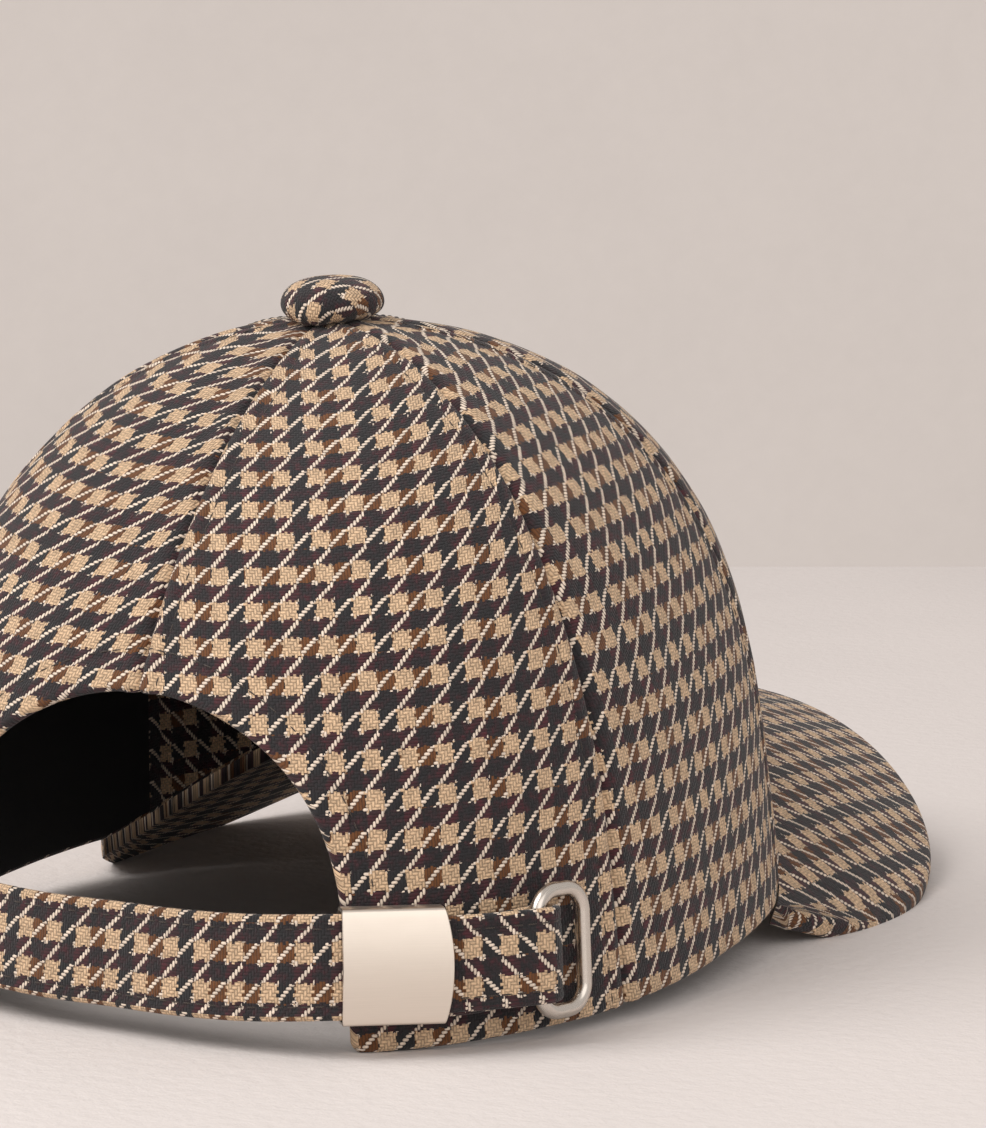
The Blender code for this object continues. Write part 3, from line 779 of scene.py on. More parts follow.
def seam_relief(distance, stitched):
    """Rise of the cloth beside a seam: a groove, then the stitched allowance or a soft puff."""
    rise = -SEAM_GROOVE * np.exp(-((distance / SEAM_GROOVE_WIDTH) ** 2))
    if stitched:
        rise = rise + ALLOWANCE_RISE * plateau(distance, 0.0007, SEAM_ROW_DISTANCE, 0.0004)
        return rise - ROW_DIP * hump(distance, SEAM_ROW_DISTANCE, ROW_DIP_WIDTH)
    return rise + PUFF_RISE * hump(distance, 0.0024, PUFF_WIDTH * 0.5)


def ripples(points, scale, seed):
    """Slow uneven waves from -1 to 1 over an array of points."""
    flat = points.reshape(-1, 3) / scale
    values = [noise.noise(Vector((x, y, z + seed))) for x, y, z in flat.tolist()]
    return np.array(values).reshape(points.shape[:-1])


def arch_line():
    """Points along the right half of the back opening's edge, down to the hem."""
    edge = edge_line(BACK_SEAM, SIDE_SEAM)
    arch = edge[edge[:, 1] > 0.0]
    return crown_point(arch[:, 0], climb_at(arch[:, 0], arch[:, 1]))


def gore_relief(name, phis, climbs):
    """Rise of the sewn cloth above the plain form of a panel, over arrays of places."""
    first, second, row_first, row_second, left = GORES[name]
    surface = crown_point(phis, climbs)
    radii = np.hypot(surface[..., 0], surface[..., 1] + APEX_FORWARD)
    from_first = (phis - math.radians(first)) * radii
    from_second = (math.radians(second) - phis) * radii
    fade = np.clip((from_first + from_second) / SEAM_FADE_RADIUS, 0.0, 1.0)
    relief = (seam_relief(from_first, row_first) + seam_relief(from_second, row_second)) * fade
    if first == BACK_SEAM:
        flat = surface.reshape(-1, 1, 3)
        from_arch = np.min(np.linalg.norm(flat - arch_line()[None, ::2], axis=-1), axis=1)
        from_arch = from_arch.reshape(phis.shape)
        relief += 0.5 * ALLOWANCE_RISE * plateau(from_arch, -0.01, ARCH_ROW_DISTANCE, 0.0006)
        relief -= ROW_DIP * hump(from_arch, ARCH_ROW_DISTANCE, ROW_DIP_WIDTH)
    seed = 3.0 + len(name) + 7.0 * left
    return relief + RIPPLE * (ripples(surface, 0.030, seed) + 0.4 * ripples(surface, 0.011, seed + 4.0))


def gore_surface(name):
    """Outer, inner and rim points of one panel, and their places on the cloth."""
    first, second, _, _, left = GORES[name]
    phis, climbs, arcs, edge = gore_grid((first, second), int(PANEL_LENGTH / ROW_STEP))
    surface, normals = crown_point(phis, climbs), crown_normal(phis, climbs)
    relief = gore_relief(name, phis, climbs)
    rim_line = crown_point(edge[:, 0], climb_at(edge[:, 0], edge[:, 1]))
    outer = surface + normals * relief[..., None]
    inner = surface - normals * WALL
    middle = math.radians(0.5 * (first + second))
    cloth = np.stack((parallel_arc(phis, climbs, middle), arcs), axis=-1)
    heart = 0.5 * (outer[:, 0] + inner[:, 0])
    reach = rim_line - heart
    axis = unit(outer[:, 0] - inner[:, 0])
    reach -= axis * np.sum(reach * axis, axis=-1, keepdims=True)
    thickness = 0.5 * np.linalg.norm(outer[:, 0] - inner[:, 0], axis=-1, keepdims=True)
    reach = unit(reach)
    rim, rim_cloth = [], []
    for turn in np.linspace(0.0, math.pi, RIM_STEPS):
        rim.append(heart + (axis * math.cos(turn) + reach * math.sin(turn)) * thickness)
        rim_cloth.append(cloth[:, 0] - (0.0, 0.5 * WALL * turn))
    rim, rim_cloth = np.stack(rim, axis=1), np.stack(rim_cloth, axis=1)
    side = np.array((-1.0 if left else 1.0, 1.0, 1.0))
    grids = [settle(grid * side) for grid in (outer, inner, rim)]
    cloths = [grid * (side[0], 1.0) for grid in (cloth, rim_cloth)]
    return grids, cloths


def build_panel(name, materials):
    """One gore of the crown as a wall of cloth with a turned lower edge."""
    (outer, inner, rim), (cloth, rim_cloth) = gore_surface(name)
    skin = Skin()
    skin.grid(outer, cloth)
    skin.grid(inner, cloth, material=1)
    skin.grid(rim, rim_cloth)
    skin.grid(np.stack((outer[:, -1], inner[:, -1]), axis=1), np.stack((cloth[:, -1], cloth[:, -1]), axis=1))
    for column in (0, -1):
        skin.grid(np.stack((outer[column], inner[column])), np.stack((cloth[column], cloth[column])))
        skin.fan(rim[column], rim_cloth[column])
    piece = skin.finish("cloth_" + name, materials)
    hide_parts(name)
    return piece


class BuildPanels(bpy.types.Operator):
    """Build the six panels of the crown"""

    bl_idname = "cap.build_panels"
    bl_label = "Panels"

    def execute(self, context):
        cloth = context.scene.cap_cloth
        tweed, lining = tweed_material("panel_tweed", cloth), lining_material(cloth)
        for name in GORES:
            inside = tweed if "front" in name else lining
            build_panel(name, (tweed, inside))
        return {"FINISHED"}


def join_points(shares):
    """The crown's outer surface and normal under the peak's inner edge, shares -1 to 1 across."""
    phi = math.pi - shares * (math.pi - math.radians(PEAK_JOIN_END))
    height = join_height(np.where(phi <= math.pi, phi, 2 * math.pi - phi))
    climb = climb_at(phi, height)
    return crown_point(phi, climb), crown_normal(phi, climb)


def peak_outline(shares):
    """Top of the peak's outer edge, shares -1 at the left wing's end to 1 at the right's."""
    turn = np.abs(shares) * math.pi / 2
    end = join_points(np.array([1.0]))[0][0]
    across = np.sin(turn) ** (2.0 / PEAK_OUTLINE_POWER)
    forward = np.maximum(np.cos(turn), 0.0) ** (2.0 / PEAK_OUTLINE_POWER)
    half_width = PEAK_HALF_WIDTH + (abs(end[0]) - PEAK_HALF_WIDTH) * (1.0 - forward) ** PEAK_WAIST_POWER
    reach = -end[1] + (CROWN_FRONT_REACH + PEAK_LENGTH + end[1]) * forward
    wing = PEAK_WING_ANGLE / 90.0
    inside = np.clip(np.abs(shares) / wing, 0.0, 1.0)
    arch = np.cos(inside * math.pi / 2) ** PEAK_ARCH_POWER
    back = np.clip((np.abs(shares) - wing) / (1.0 - wing), 0.0, 1.0)
    before_wing = PEAK_WING_HEIGHT + (PEAK_FRONT_HEIGHT - PEAK_WING_HEIGHT) * arch
    height = np.where(np.abs(shares) < wing, before_wing, PEAK_WING_HEIGHT * (1.0 - back ** 2))
    return np.stack((-np.copysign(across * half_width, shares), -reach, height), axis=-1)


def peak_sections(shares):
    """Closed sections of the peak from the crown out round the edge and back, and their plan ways."""
    join, normal = join_points(shares)
    outward = normal * (1.0, 1.0, 0.0)
    start = join + unit(outward) * GAP
    span = peak_outline(shares) - start
    width = np.linalg.norm(span, axis=-1, keepdims=True)
    along = span / width
    side = unit(np.cross(along, (0.0, 0.0, 1.0)))
    down = np.cross(along, side)
    down *= -np.copysign(1.0, down[:, 2:])
    half = 0.5 * PEAK_THICKNESS
    round_length = np.minimum(half, 0.45 * width)
    flat = width - round_length
    fullness = PEAK_FULLNESS * np.minimum(width / PEAK_LENGTH, 1.0)
    top, bottom = [], []
    for step in np.linspace(0.0, 1.0, PEAK_STEPS):
        middle = start + along * (flat * step) - down * fullness * math.sin(math.pi * step)
        top.append(middle)
        bottom.append(middle + down * PEAK_THICKNESS)
    centre = start + along * flat + down * half
    arc = [
        centre + along * round_length * math.sin(turn) - down * half * math.cos(turn)
        for turn in np.linspace(0.0, math.pi, PEAK_RIM_STEPS + 2)[1:-1]
    ]
    return np.stack(top + arc + bottom[::-1]), unit(along[:, :2])


def build_peak(cloth):
    """The peak, a stiff board whose cloth wraps round its edge."""
    turns = np.linspace(-math.pi / 2, math.pi / 2, PEAK_STATIONS)
    shares = PEAK_END_SHARE * np.sin(turns)
    sections, ways = peak_sections(shares)
    tops = sections[:PEAK_STEPS]
    stride = np.linalg.norm(np.diff(tops[..., (0, 2)], axis=1), axis=-1)
    across = np.concatenate((np.zeros((PEAK_STEPS, 1)), np.cumsum(stride, axis=1)), axis=1)
    across -= across[:, PEAK_STATIONS // 2, None]
    places = [np.stack((across[j], -tops[j, :, 1]), axis=-1) for j in range(PEAK_STEPS)]
    flip = ways * (-1.0, -1.0)
    for j in range(PEAK_STEPS, len(sections)):
        step = np.linalg.norm(sections[j] - sections[j - 1], axis=-1, keepdims=True)
        places.append(places[-1] + flip * step)
    places.append(places[-1])
    skin = Skin()
    skin.grid(settle(sections), np.stack(places), wrap=True)
    for station in (0, -1):
        skin.fan(settle(sections[:, station]), np.stack(places)[:-1, station])
    piece = skin.finish("cloth_peak", (tweed_material("peak_tweed", cloth),))
    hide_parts("peak")


class BuildPeak(bpy.types.Operator):
    """Build the curved peak"""

    bl_idname = "cap.build_peak"
    bl_label = "Peak"

    def execute(self, context):
        build_peak(context.scene.cap_cloth)
        return {"FINISHED"}


def crown_top_height(radius, phi):
    """Height of the crown at a small radius from the apex."""
    outward, upward = profile_powers(phi)
    return CROWN_HEIGHT * (1.0 - (radius / plan_radius(phi)) ** outward) ** (1.0 / upward)


def build_button(cloth, gathers):
    """Covered button: a flattened bun whose cloth is gathered into folds under its edge."""
    turns = np.radians(np.linspace(0.0, 360.0, 193))[:-1]
    levels = np.linspace(0.0, 1.0, 56)
    uneven = 0.35 * np.sin(3.0 * turns + 0.7) + 0.2 * np.sin(5.0 * turns + 2.1)
    rings, places = [], []
    arc = 0.0
    before = None
    for level in levels:
        angle = level * math.radians(142.0)
        radius_share = math.sin(angle) ** 0.78 if level else 0.0
        height_share = 0.40 + 0.60 * math.cos(angle) if angle < math.pi / 2 else 0.40 + 0.52 * math.cos(angle)
        pinch = max(level - 0.30, 0.0) ** 1.4
        fold = np.abs(np.sin(0.5 * gathers * (turns + 0.25 * uneven)))
        fold = (fold ** 0.6 - 0.75) * 0.00150 * pinch
        radius = BUTTON_RADIUS * radius_share + fold
        x = BUTTON_OFFSET[0] - radius * np.sin(turns)
        y = BUTTON_OFFSET[1] + radius * np.cos(turns)
        seat = crown_top_height(np.hypot(x, y), np.arctan2(-x, y)) + 2 * GAP
        height = seat + (CROWN_HEIGHT + BUTTON_HEIGHT - seat) * height_share
        ring = np.stack((x, y - APEX_FORWARD, height), axis=-1)
        if before is not None:
            arc += float(np.mean(np.linalg.norm(ring - before, axis=-1)))
        before = ring
        rings.append(ring)
        wrapped = np.append(turns, 2 * math.pi)
        places.append(np.stack((arc * np.sin(wrapped), -arc * np.cos(wrapped)), axis=-1))
    x, y = BUTTON_OFFSET[0] - 0.1 * radius * np.sin(turns), BUTTON_OFFSET[1] + 0.1 * radius * np.cos(turns)
    seat = crown_top_height(np.hypot(x, y), np.arctan2(-x, y)) + 2 * GAP
    rings.append(np.stack((x, y - APEX_FORWARD, seat), axis=-1))
    places.append(places[-1] * 1.5)
    rings, places = np.stack(rings, axis=1), np.stack(places, axis=1)
    skin = Skin()
    skin.grid(settle(rings), places, wrap=True)
    skin.fan(settle(rings[:, -1]), places[:-1, -1])
    piece = skin.finish("cloth_button", (tweed_material("button_tweed", cloth),))
    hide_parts("button")


class BuildButton(bpy.types.Operator):
    """Build the covered button"""

    bl_idname = "cap.build_button"
    bl_label = "Button"

    def execute(self, context):
        build_button(context.scene.cap_cloth, context.scene.cap_trim.gathers)
        return {"FINISHED"}


def band_frame(angle):
    """Place on the crown under the strap's middle, with the strap's directions along, out and up."""
    angles, heights, leans = zip(*STRAP_LINE)
    phi = math.radians(angle)
    climb = float(climb_at(phi, float(np.interp(angle, angles, heights))))
    lean = math.radians(float(np.interp(angle, angles, leans)))
    level = crown_point(phi + COARSE_STEP, climb) - crown_point(phi - COARSE_STEP, climb)
    upward = crown_point(phi, climb + COARSE_STEP) - crown_point(phi, climb - COARSE_STEP)
    level = unit(level * (1.0, 1.0, 0.0))
    outward = unit(np.cross(level, upward))
    along = level * math.cos(lean) - np.cross(outward, level) * math.sin(lean)
    return crown_point(phi, climb), along, outward, np.cross(outward, along)


def keeper_stack():
    """Depths off the crown, from the keeper's back wall out to its plate."""
    back_wall = KEEPER_STANDOFF + KEEPER_WALL
    under_layer = back_wall + GAP + 0.5 * STRAP_THICKNESS
    upper_layer = under_layer + STRAP_THICKNESS + GAP
    plate = upper_layer + 0.5 * STRAP_THICKNESS + GAP
    return {"back": back_wall, "under": under_layer, "upper": upper_layer, "plate": plate}


def ring_frame():
    """Centre of the ring with its directions across, out and up."""
    place, along, outward, up = band_frame(RING_ANGLE)
    near = 2 * GAP + 0.5 * RING_WIRE
    far = KEEPER_STANDOFF + STRAP_THICKNESS + RING_PLAY + 0.5 * RING_WIRE
    tilt = math.asin((far - near) / (RING_WIDTH - RING_WIRE))
    across = along * math.cos(tilt) - outward * math.sin(tilt)
    centre = place + outward * (0.5 * (near + far) + RING_STANDOFF)
    return centre, across, np.cross(across, up), up


def strap_path():
    """Centre line of the strap: left end, opening, keeper, round the ring's bar and back."""
    depths = keeper_stack()
    place, along, outward, _ = band_frame(KEEPER_ANGLE)
    mouth = 0.5 * KEEPER_LENGTH + MOUTH_MARGIN
    points = []
    for angle, off in STRAP_ROUTE:
        under, _, off_crown, _ = band_frame(angle)
        points.append(under + off_crown * off)
    for reach in (-mouth, 0.0, mouth):
        points.append(place + outward * depths["upper"] + along * reach)
    centre, across, ring_out, _ = ring_frame()
    bar = centre - across * 0.5 * (RING_WIDTH - RING_WIRE)
    bend = 0.5 * RING_WIRE + RING_PLAY + 0.5 * STRAP_THICKNESS
    for turn in (100.0, 60.0, 20.0, -20.0, -60.0, -95.0):
        angle = math.radians(turn)
        points.append(bar + across * math.cos(angle) * (bend + FOLD_SLACK)
                      + ring_out * math.sin(angle) * bend)
    for reach in (mouth, 0.0, -STRAP_TAIL):
        points.append(place + outward * depths["under"] + along * reach)
    return points


def smooth_path(points, steps):
    """Points of a centripetal curve through the given ones."""
    padded = [2 * points[0] - points[1]] + points + [2 * points[-1] - points[-2]]
    curve = []
    for group in zip(padded, padded[1:], padded[2:], padded[3:]):
        knots = [0.0]
        for low, high in zip(group, group[1:]):
            knots.append(knots[-1] + math.sqrt(max(np.linalg.norm(high - low), 1e-9)))
        for step in range(steps):
            t = knots[1] + (knots[2] - knots[1]) * step / steps
            layer = list(group)
            for width in (1, 2, 3):
                layer = [
                    (a * (knots[k + width] - t) + b * (t - knots[k])) / (knots[k + width] - knots[k])
                    for k, (a, b) in enumerate(zip(layer, layer[1:]))
                ] if width < 3 else [
                    (layer[0] * (knots[2] - t) + layer[1] * (t - knots[1])) / (knots[2] - knots[1])
                ]
            curve.append(layer[0])
    return curve + [points[-1]]


def strap_loop(half_width):
    """Section of the strap as (depth, height) and its length round, from the front's lower edge."""
    half = 0.5 * STRAP_THICKNESS
    flat = half_width - half
    heights = np.linspace(-flat, flat, STRAP_FACE_STEPS)
    from_edge = half_width - np.abs(heights)
    dip = STRAP_ROW_DIP * hump(from_edge, STRAP_ROW_DISTANCE, 0.0007)
    front = np.stack((half - dip, heights), axis=-1)
    turns = np.linspace(math.pi / 2, -math.pi / 2, STRAP_EDGE_STEPS + 2)[1:-1]
    top = np.stack((half * np.sin(turns), flat + half * np.cos(turns)), axis=-1)
    back = np.stack((np.full_like(heights, -half), heights[::-1]), axis=-1)
    loop = np.concatenate((front, top, back, -top))
    closed = np.concatenate((loop, loop[:1]))
    round_length = np.concatenate(([0.0], np.cumsum(np.linalg.norm(np.diff(closed, axis=0), axis=1))))
    return loop, round_length - half_width


def strap_sections():
    """Sections of the strap along its path in the crown's frame, places on the cloth and the index of the first
    section past the keeper's middle.
    """
    path = np.array(smooth_path(strap_path(), STRAP_PATH_STEPS))
    place, keeper_along = band_frame(KEEPER_ANGLE)[:2]
    taper = (-1.5 * KEEPER_LENGTH, -0.5 * KEEPER_LENGTH, 0.3 * KEEPER_LENGTH)
    widths = (STRAP_WIDTH, STRAP_MOUTH_WIDTH, STRAP_NARROW_WIDTH)
    run = np.concatenate(([0.0], np.cumsum(np.linalg.norm(np.diff(path, axis=0), axis=1))))
    tangents = np.gradient(path, axis=0)
    fold = int(np.argmax((path - place) @ keeper_along))
    sections, places, pasts = [], [], []
    for k, point in enumerate(path):
        up = band_frame(math.degrees(math.atan2(-point[0], point[1])))[3]
        outward = unit(np.cross(tangents[k], up))
        past = float(np.dot(point - place, keeper_along))
        loop, around = strap_loop(0.5 * float(np.interp(past, taper, widths)))
        sag = UNDER_LAYER_SAG * max(run[k] - run[fold], 0.0) / KEEPER_LENGTH
        centre = point - up * min(sag, UNDER_LAYER_SAG)
        sections.append(centre + outward * loop[:, :1] + up * loop[:, 1:])
        places.append(np.stack((np.full_like(around, run[k]), around), axis=-1))
        pasts.append(past)
    middle = next(k for k, past in enumerate(pasts) if past > 0.0)
    return np.stack(sections), np.stack(places), middle


def build_strap(cloth):
    """The strap: a band of doubled cloth through the keeper, round the ring's bar and back."""
    sections, places, middle = strap_sections()
    loops, cloths = sections.transpose(1, 0, 2), places.transpose(1, 0, 2)
    skin = Skin()
    skin.grid(settle(loops[:, :middle + 1]), cloths[:, :middle + 1], wrap=True)
    skin.grid(settle(loops[:, middle:]), cloths[:, middle:] * (-1.0, 1.0), wrap=True)
    for end in (0, -1):
        skin.fan(settle(loops[:, end]), cloths[:-1, end])
    piece = skin.finish("cloth_strap", (tweed_material("strap_tweed", cloth),))
    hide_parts("strap")


class BuildStrap(bpy.types.Operator):
    """Build the strap"""

    bl_idname = "cap.build_strap"
    bl_label = "Strap"

    def execute(self, context):
        build_strap(context.scene.cap_cloth)
        return {"FINISHED"}


def metal_material(name, colour, roughness, across_scale, along_scale, depth):
    """Metal whose brushing runs along the first direction of its map."""
    material, shader = new_material(name, colour, roughness, metallic=1.0)
    tree = material.node_tree
    place = tree.nodes.new("ShaderNodeUVMap")
    place.uv_map = "cloth"
    stretch = tree.nodes.new("ShaderNodeMapping")
    stretch.inputs["Scale"].default_value = (along_scale, across_scale, 1.0)
    tree.links.new(place.outputs[0], stretch.inputs["Vector"])
    lines = soft_noise(tree, stretch.outputs[0], 1.0, 4.0, 0.65)
    blotches = soft_noise(tree, place.outputs[0], 240.0, 2.0)
    finish = lines * 0.22 + blotches * 0.08 + (roughness - 0.15)
    tree.links.new(finish.socket, shader.inputs["Roughness"])
    tone = lines * 0.16 + 0.92
    tree.links.new(mix_colours(tree, 1.0, colour, grey(tree, tone), "MULTIPLY"), shader.inputs["Base Color"])
    bump(tree, shader, lines.socket, depth)
    return material


def rounded_loop(low, high, half, radius, bulge):
    """Section of the keeper as (depth, height): a box with round corners and a bulging front."""
    corners = []
    for depth, height, start in ((high, half, 0.0), (low, half, 90.0), (low, -half, 180.0), (high, -half, 270.0)):
        for turn in np.radians(np.linspace(start, start + 90.0, 5)):
            corners.append((depth + radius * (math.cos(turn) - np.sign(depth - 0.5 * (low + high))),
                            height + radius * (math.sin(turn) - np.sign(height))))
    front = [(high, height) for height in np.linspace(-half + radius, half - radius, 20)[1:-1]]
    loop = np.array(corners + front)
    lift = bulge * np.maximum(1.0 - (loop[:, 1] / half) ** 2, 0.0) * (loop[:, 0] > 0.5 * (low + high))
    loop[:, 0] += lift
    return loop


def build_keeper(trim):
    """Keeper: a sleeve of brushed sheet metal whose plate bulges over its height."""
    place, along, outward, up = band_frame(KEEPER_ANGLE)
    low, high = KEEPER_STANDOFF, keeper_stack()["plate"] + KEEPER_WALL
    half = 0.5 * KEEPER_HEIGHT
    edge = 0.45 * KEEPER_WALL
    outside = rounded_loop(low, high, half, KEEPER_EDGE, KEEPER_BULGE)
    inset = (KEEPER_WALL, KEEPER_WALL)
    bore = rounded_loop(low + inset[0], high - inset[0], half - inset[1], 0.3 * KEEPER_EDGE, KEEPER_BULGE)
    centre = np.array((0.5 * (low + high), 0.0))
    eased = outside + (centre - outside) * edge / np.linalg.norm(centre - outside, axis=1, keepdims=True)
    reaches = np.linspace(-0.985, 0.985, 12)
    sections = [(reach, outside) for reach in reaches] + [(1.0, eased), (1.0, bore)]
    sections += [(reach, bore) for reach in reaches[::-3]] + [(-1.0, bore), (-1.0, eased)]
    grid, places = [], []
    for reach, loop in sections:
        bow = KEEPER_BOW * (1.0 - (loop[:, 1] / half) ** 2) * (loop[:, 0] > 0.5 * high)
        shift = reach * 0.5 * KEEPER_LENGTH + bow * (0.5 + 0.5 * reach)
        grid.append(place + along * shift[:, None] + outward * loop[:, :1] + up * loop[:, 1:])
        closed = np.concatenate((loop, loop[:1]))
        around = np.concatenate(([0.0], np.cumsum(np.linalg.norm(np.diff(closed, axis=0), axis=1))))
        places.append(np.stack((np.append(shift, shift[0]), around), axis=-1))
    grid.append(grid[0])
    places.append(places[0])
    skin = Skin()
    grid, places = np.stack(grid, axis=1), np.stack(places, axis=1)
    skin.grid(settle(grid), places, wrap=True)
    metal = metal_material("keeper_metal", trim.keeper, 0.34, 9000.0, 60.0, 0.00001)
    piece = skin.finish("metal_keeper", (metal,), sharp=35.0)
    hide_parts("keeper")


def build_ring(trim):
    """Oval ring of round wire, upright, with one bar in the strap's fold."""
    centre, across, outward, up = ring_frame()
    half_width = 0.5 * (RING_WIDTH - RING_WIRE) - RING_CORNER
    half_height = 0.5 * (RING_HEIGHT - RING_WIRE) - RING_CORNER
    middles, radials = [], []
    for side, level, start in ((1, 1, 0), (-1, 1, 90), (-1, -1, 180), (1, -1, 270)):
        for turn in np.radians(np.linspace(start, start + 90, RING_CORNER_STEPS)):
            radial = across * math.cos(turn) + up * math.sin(turn)
            middles.append(centre + radial * RING_CORNER + across * half_width * side + up * half_height * level)
            radials.append(radial)
    middles, radials = np.array(middles), np.array(radials)
    turns = np.radians(np.linspace(0.0, 360.0, RING_SIDES + 1))
    spokes = radials[:, None] * np.cos(turns[:-1])[:, None] + outward * np.sin(turns[:-1])[:, None]
    closed = np.concatenate((middles, middles[:1]))
    run = np.concatenate(([0.0], np.cumsum(np.linalg.norm(np.diff(closed, axis=0), axis=1))))
    places = np.stack(np.broadcast_arrays(run[:, None], 0.5 * RING_WIRE * turns[None]), axis=-1)
    points = middles[:, None] + spokes * 0.5 * RING_WIRE
    points = np.concatenate((points, points[:, :1]), axis=1)
    skin = Skin()
    skin.grid(settle(points), places, wrap=True)
    metal = metal_material("ring_metal", trim.ring, 0.27, 2500.0, 120.0, 0.000006)
    piece = skin.finish("metal_ring", (metal,), sharp=80.0)
    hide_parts("ring")


class BuildMetal(bpy.types.Operator):
    """Build the keeper and the ring"""

    bl_idname = "cap.build_metal"
    bl_label = "Keeper and ring"

    def execute(self, context):
        build_keeper(context.scene.cap_trim)
        build_ring(context.scene.cap_trim)
        return {"FINISHED"}


def thread_material(trim):
    """Twisted sewing thread."""
    material, shader = new_material("sewing_thread", trim.thread, roughness=0.6, sheen=0.2)
    tree = material.node_tree
    place = tree.nodes.new("ShaderNodeUVMap")
    place.uv_map = "cloth"
    split = tree.nodes.new("ShaderNodeSeparateXYZ")
    tree.links.new(place.outputs[0], split.inputs[0])
    twist = (Sum(tree, split.outputs[0]) + Sum(tree, split.outputs[1])) * 14000.0
    ply = twist.do("SINE") * 0.5 + 0.5
    # Painted shade and light along the twist: the colour is darker in the grooves between the plies and lighter
    # on their crowns
    tone = ply * 0.5 + 0.75
    tree.links.new(mix_colours(tree, 1.0, trim.thread, grey(tree, tone), "MULTIPLY"), shader.inputs["Base Color"])
    bump(tree, shader, ply.socket, 0.00004)
    return material


def sew(skin, points, normals, trim):
    """Lay stitches of thread along a line of points, each dipping into the cloth at both ends."""
    run = np.concatenate(([0.0], np.cumsum(np.linalg.norm(np.diff(points, axis=0), axis=1))))
    count = int(run[-1] / trim.stitch_length)
    radius = 0.5 * trim.thread_width
    turns = np.radians(np.linspace(0.0, 360.0, STITCH_SIDES + 1))
    for k in range(count):
        starts = (k + np.linspace(0.06, 0.94, STITCH_STEPS)) * run[-1] / count
        middle = np.stack([np.interp(starts, run, points[:, axis]) for axis in range(3)], axis=-1)
        out = unit(np.stack([np.interp(starts, run, normals[:, axis]) for axis in range(3)], axis=-1))
        swell = np.sin(np.linspace(0.0, math.pi, STITCH_STEPS))
        middle += out * (radius * (2.2 * swell ** 0.6 - 1.9))[:, None]
        along = unit(np.gradient(middle, axis=0))
        side = unit(np.cross(along, out))
        out = np.cross(side, along)
        thick = radius * (0.45 + 0.55 * swell ** 0.5)
        spokes = side[None] * np.cos(turns[:-1])[:, None, None] + out[None] * np.sin(turns[:-1])[:, None, None]
        tube = middle[None] + spokes * thick[None, :, None]
        places = np.stack(np.broadcast_arrays(starts[None], radius * turns[:, None]), axis=-1)
        skin.grid(settle(tube), places, wrap=True)


def seam_row(name, at_first):
    """Line of the stitch row beside one seam of a panel, with its normals."""
    first, second, _, _, left = GORES[name]
    seam = math.radians(first if at_first else second)
    sense = 1.0 if at_first else -1.0
    near = seam + sense * SEAM_ROW_DISTANCE / CROWN_BACK_REACH
    bottom = opening_height(near) if at_first and first == BACK_SEAM else join_height(near)
    low = float(climb_at(near, max(float(bottom), 0.0) + ROW_MARGIN))
    high = float(climb_at_radius(near, BUTTON_RADIUS * 1.2))
    climbs = meridian(near, low, high, 160)[0]
    radii = np.hypot(*crown_point(np.full_like(climbs, near), climbs)[:, :2].T)
    room = np.minimum(radii * math.radians(second - first) / (4.0 * SEAM_STEPS[-1]), 1.0)
    phis = seam + sense * SEAM_ROW_DISTANCE * room / radii
    return lifted(name, phis, climbs)


def lifted(name, phis, climbs):
    """Points on the sewn surface of a panel, with their normals."""
    side = np.array((-1.0 if GORES[name][4] else 1.0, 1.0, 1.0))
    normals = crown_normal(phis, climbs)
    points = crown_point(phis, climbs) + normals * gore_relief(name, phis, climbs)[:, None]
    return points * side, normals * side


def arch_row(name):
    """Line of the stitch row round one half of the back opening, with its normals."""
    edge = edge_line(BACK_SEAM, SIDE_SEAM)
    arch = edge[edge[:, 1] > OPENING_CORNER]
    shift = inward(arch) * ARCH_ROW_DISTANCE
    phis = arch[:, 0] + shift[:, 0] / CROWN_BACK_REACH
    heights = np.maximum(arch[:, 1] + shift[:, 1], 0.001)
    return lifted(name, phis, climb_at(phis, heights))


def strap_rows():
    """Lines of the two stitch rows on the strap's face, with their normals."""
    sections, _, _ = strap_sections()
    face = sections[:, :STRAP_FACE_STEPS]
    rows = []
    for height in (STRAP_ROW_DISTANCE, -STRAP_ROW_DISTANCE):
        span = np.linalg.norm(face[:, -1] - face[:, 0], axis=-1) + STRAP_THICKNESS
        share = (height % span - 0.5 * STRAP_THICKNESS) / (span - STRAP_THICKNESS)
        index = share * (STRAP_FACE_STEPS - 1)
        low = np.floor(index).astype(int)
        part = (index - low)[:, None]
        ways = np.arange(len(face))
        points = face[ways, low] * (1.0 - part) + face[ways, low + 1] * part
        normals = unit(np.cross(np.gradient(points, axis=0), face[:, -1] - face[:, 0]))
        rows.append((points, normals))
    return rows


class BuildStitches(bpy.types.Operator):
    """Sew the rows of stitches on the crown and the strap"""

    bl_idname = "cap.build_stitches"
    bl_label = "Stitches"

    def execute(self, context):
        trim = context.scene.cap_trim
        thread = thread_material(trim)
        for name, (_, _, row_first, row_second, _) in GORES.items():
            skin = Skin()
            if row_first:
                sew(skin, *seam_row(name, True), trim)
            if row_second:
                sew(skin, *seam_row(name, False), trim)
            if "back" in name:
                sew(skin, *arch_row(name), trim)
            if skin.shape.faces:
                piece = skin.finish(name.replace("panel", "stitches"), (thread,))
        skin = Skin()
        for points, normals in strap_rows():
            sew(skin, points, normals, trim)
        skin.finish("stitches_strap", (thread,))
        return {"FINISHED"}


def build_camera():
    """Camera at the photograph's angle."""
    data = bpy.data.cameras.new("view")
    data.lens = VIEW_LENS
    data.sensor_width = VIEW_SENSOR
    data.clip_start = 0.01
    camera = bpy.data.objects.new("view", data)
    camera.location = VIEW_PLACE
    camera.rotation_euler = (math.radians(90.0 - VIEW_DOWN), 0.0, math.radians(180.0 + VIEW_TURN))
    bpy.context.scene.collection.objects.link(camera)
    bpy.context.scene.camera = camera


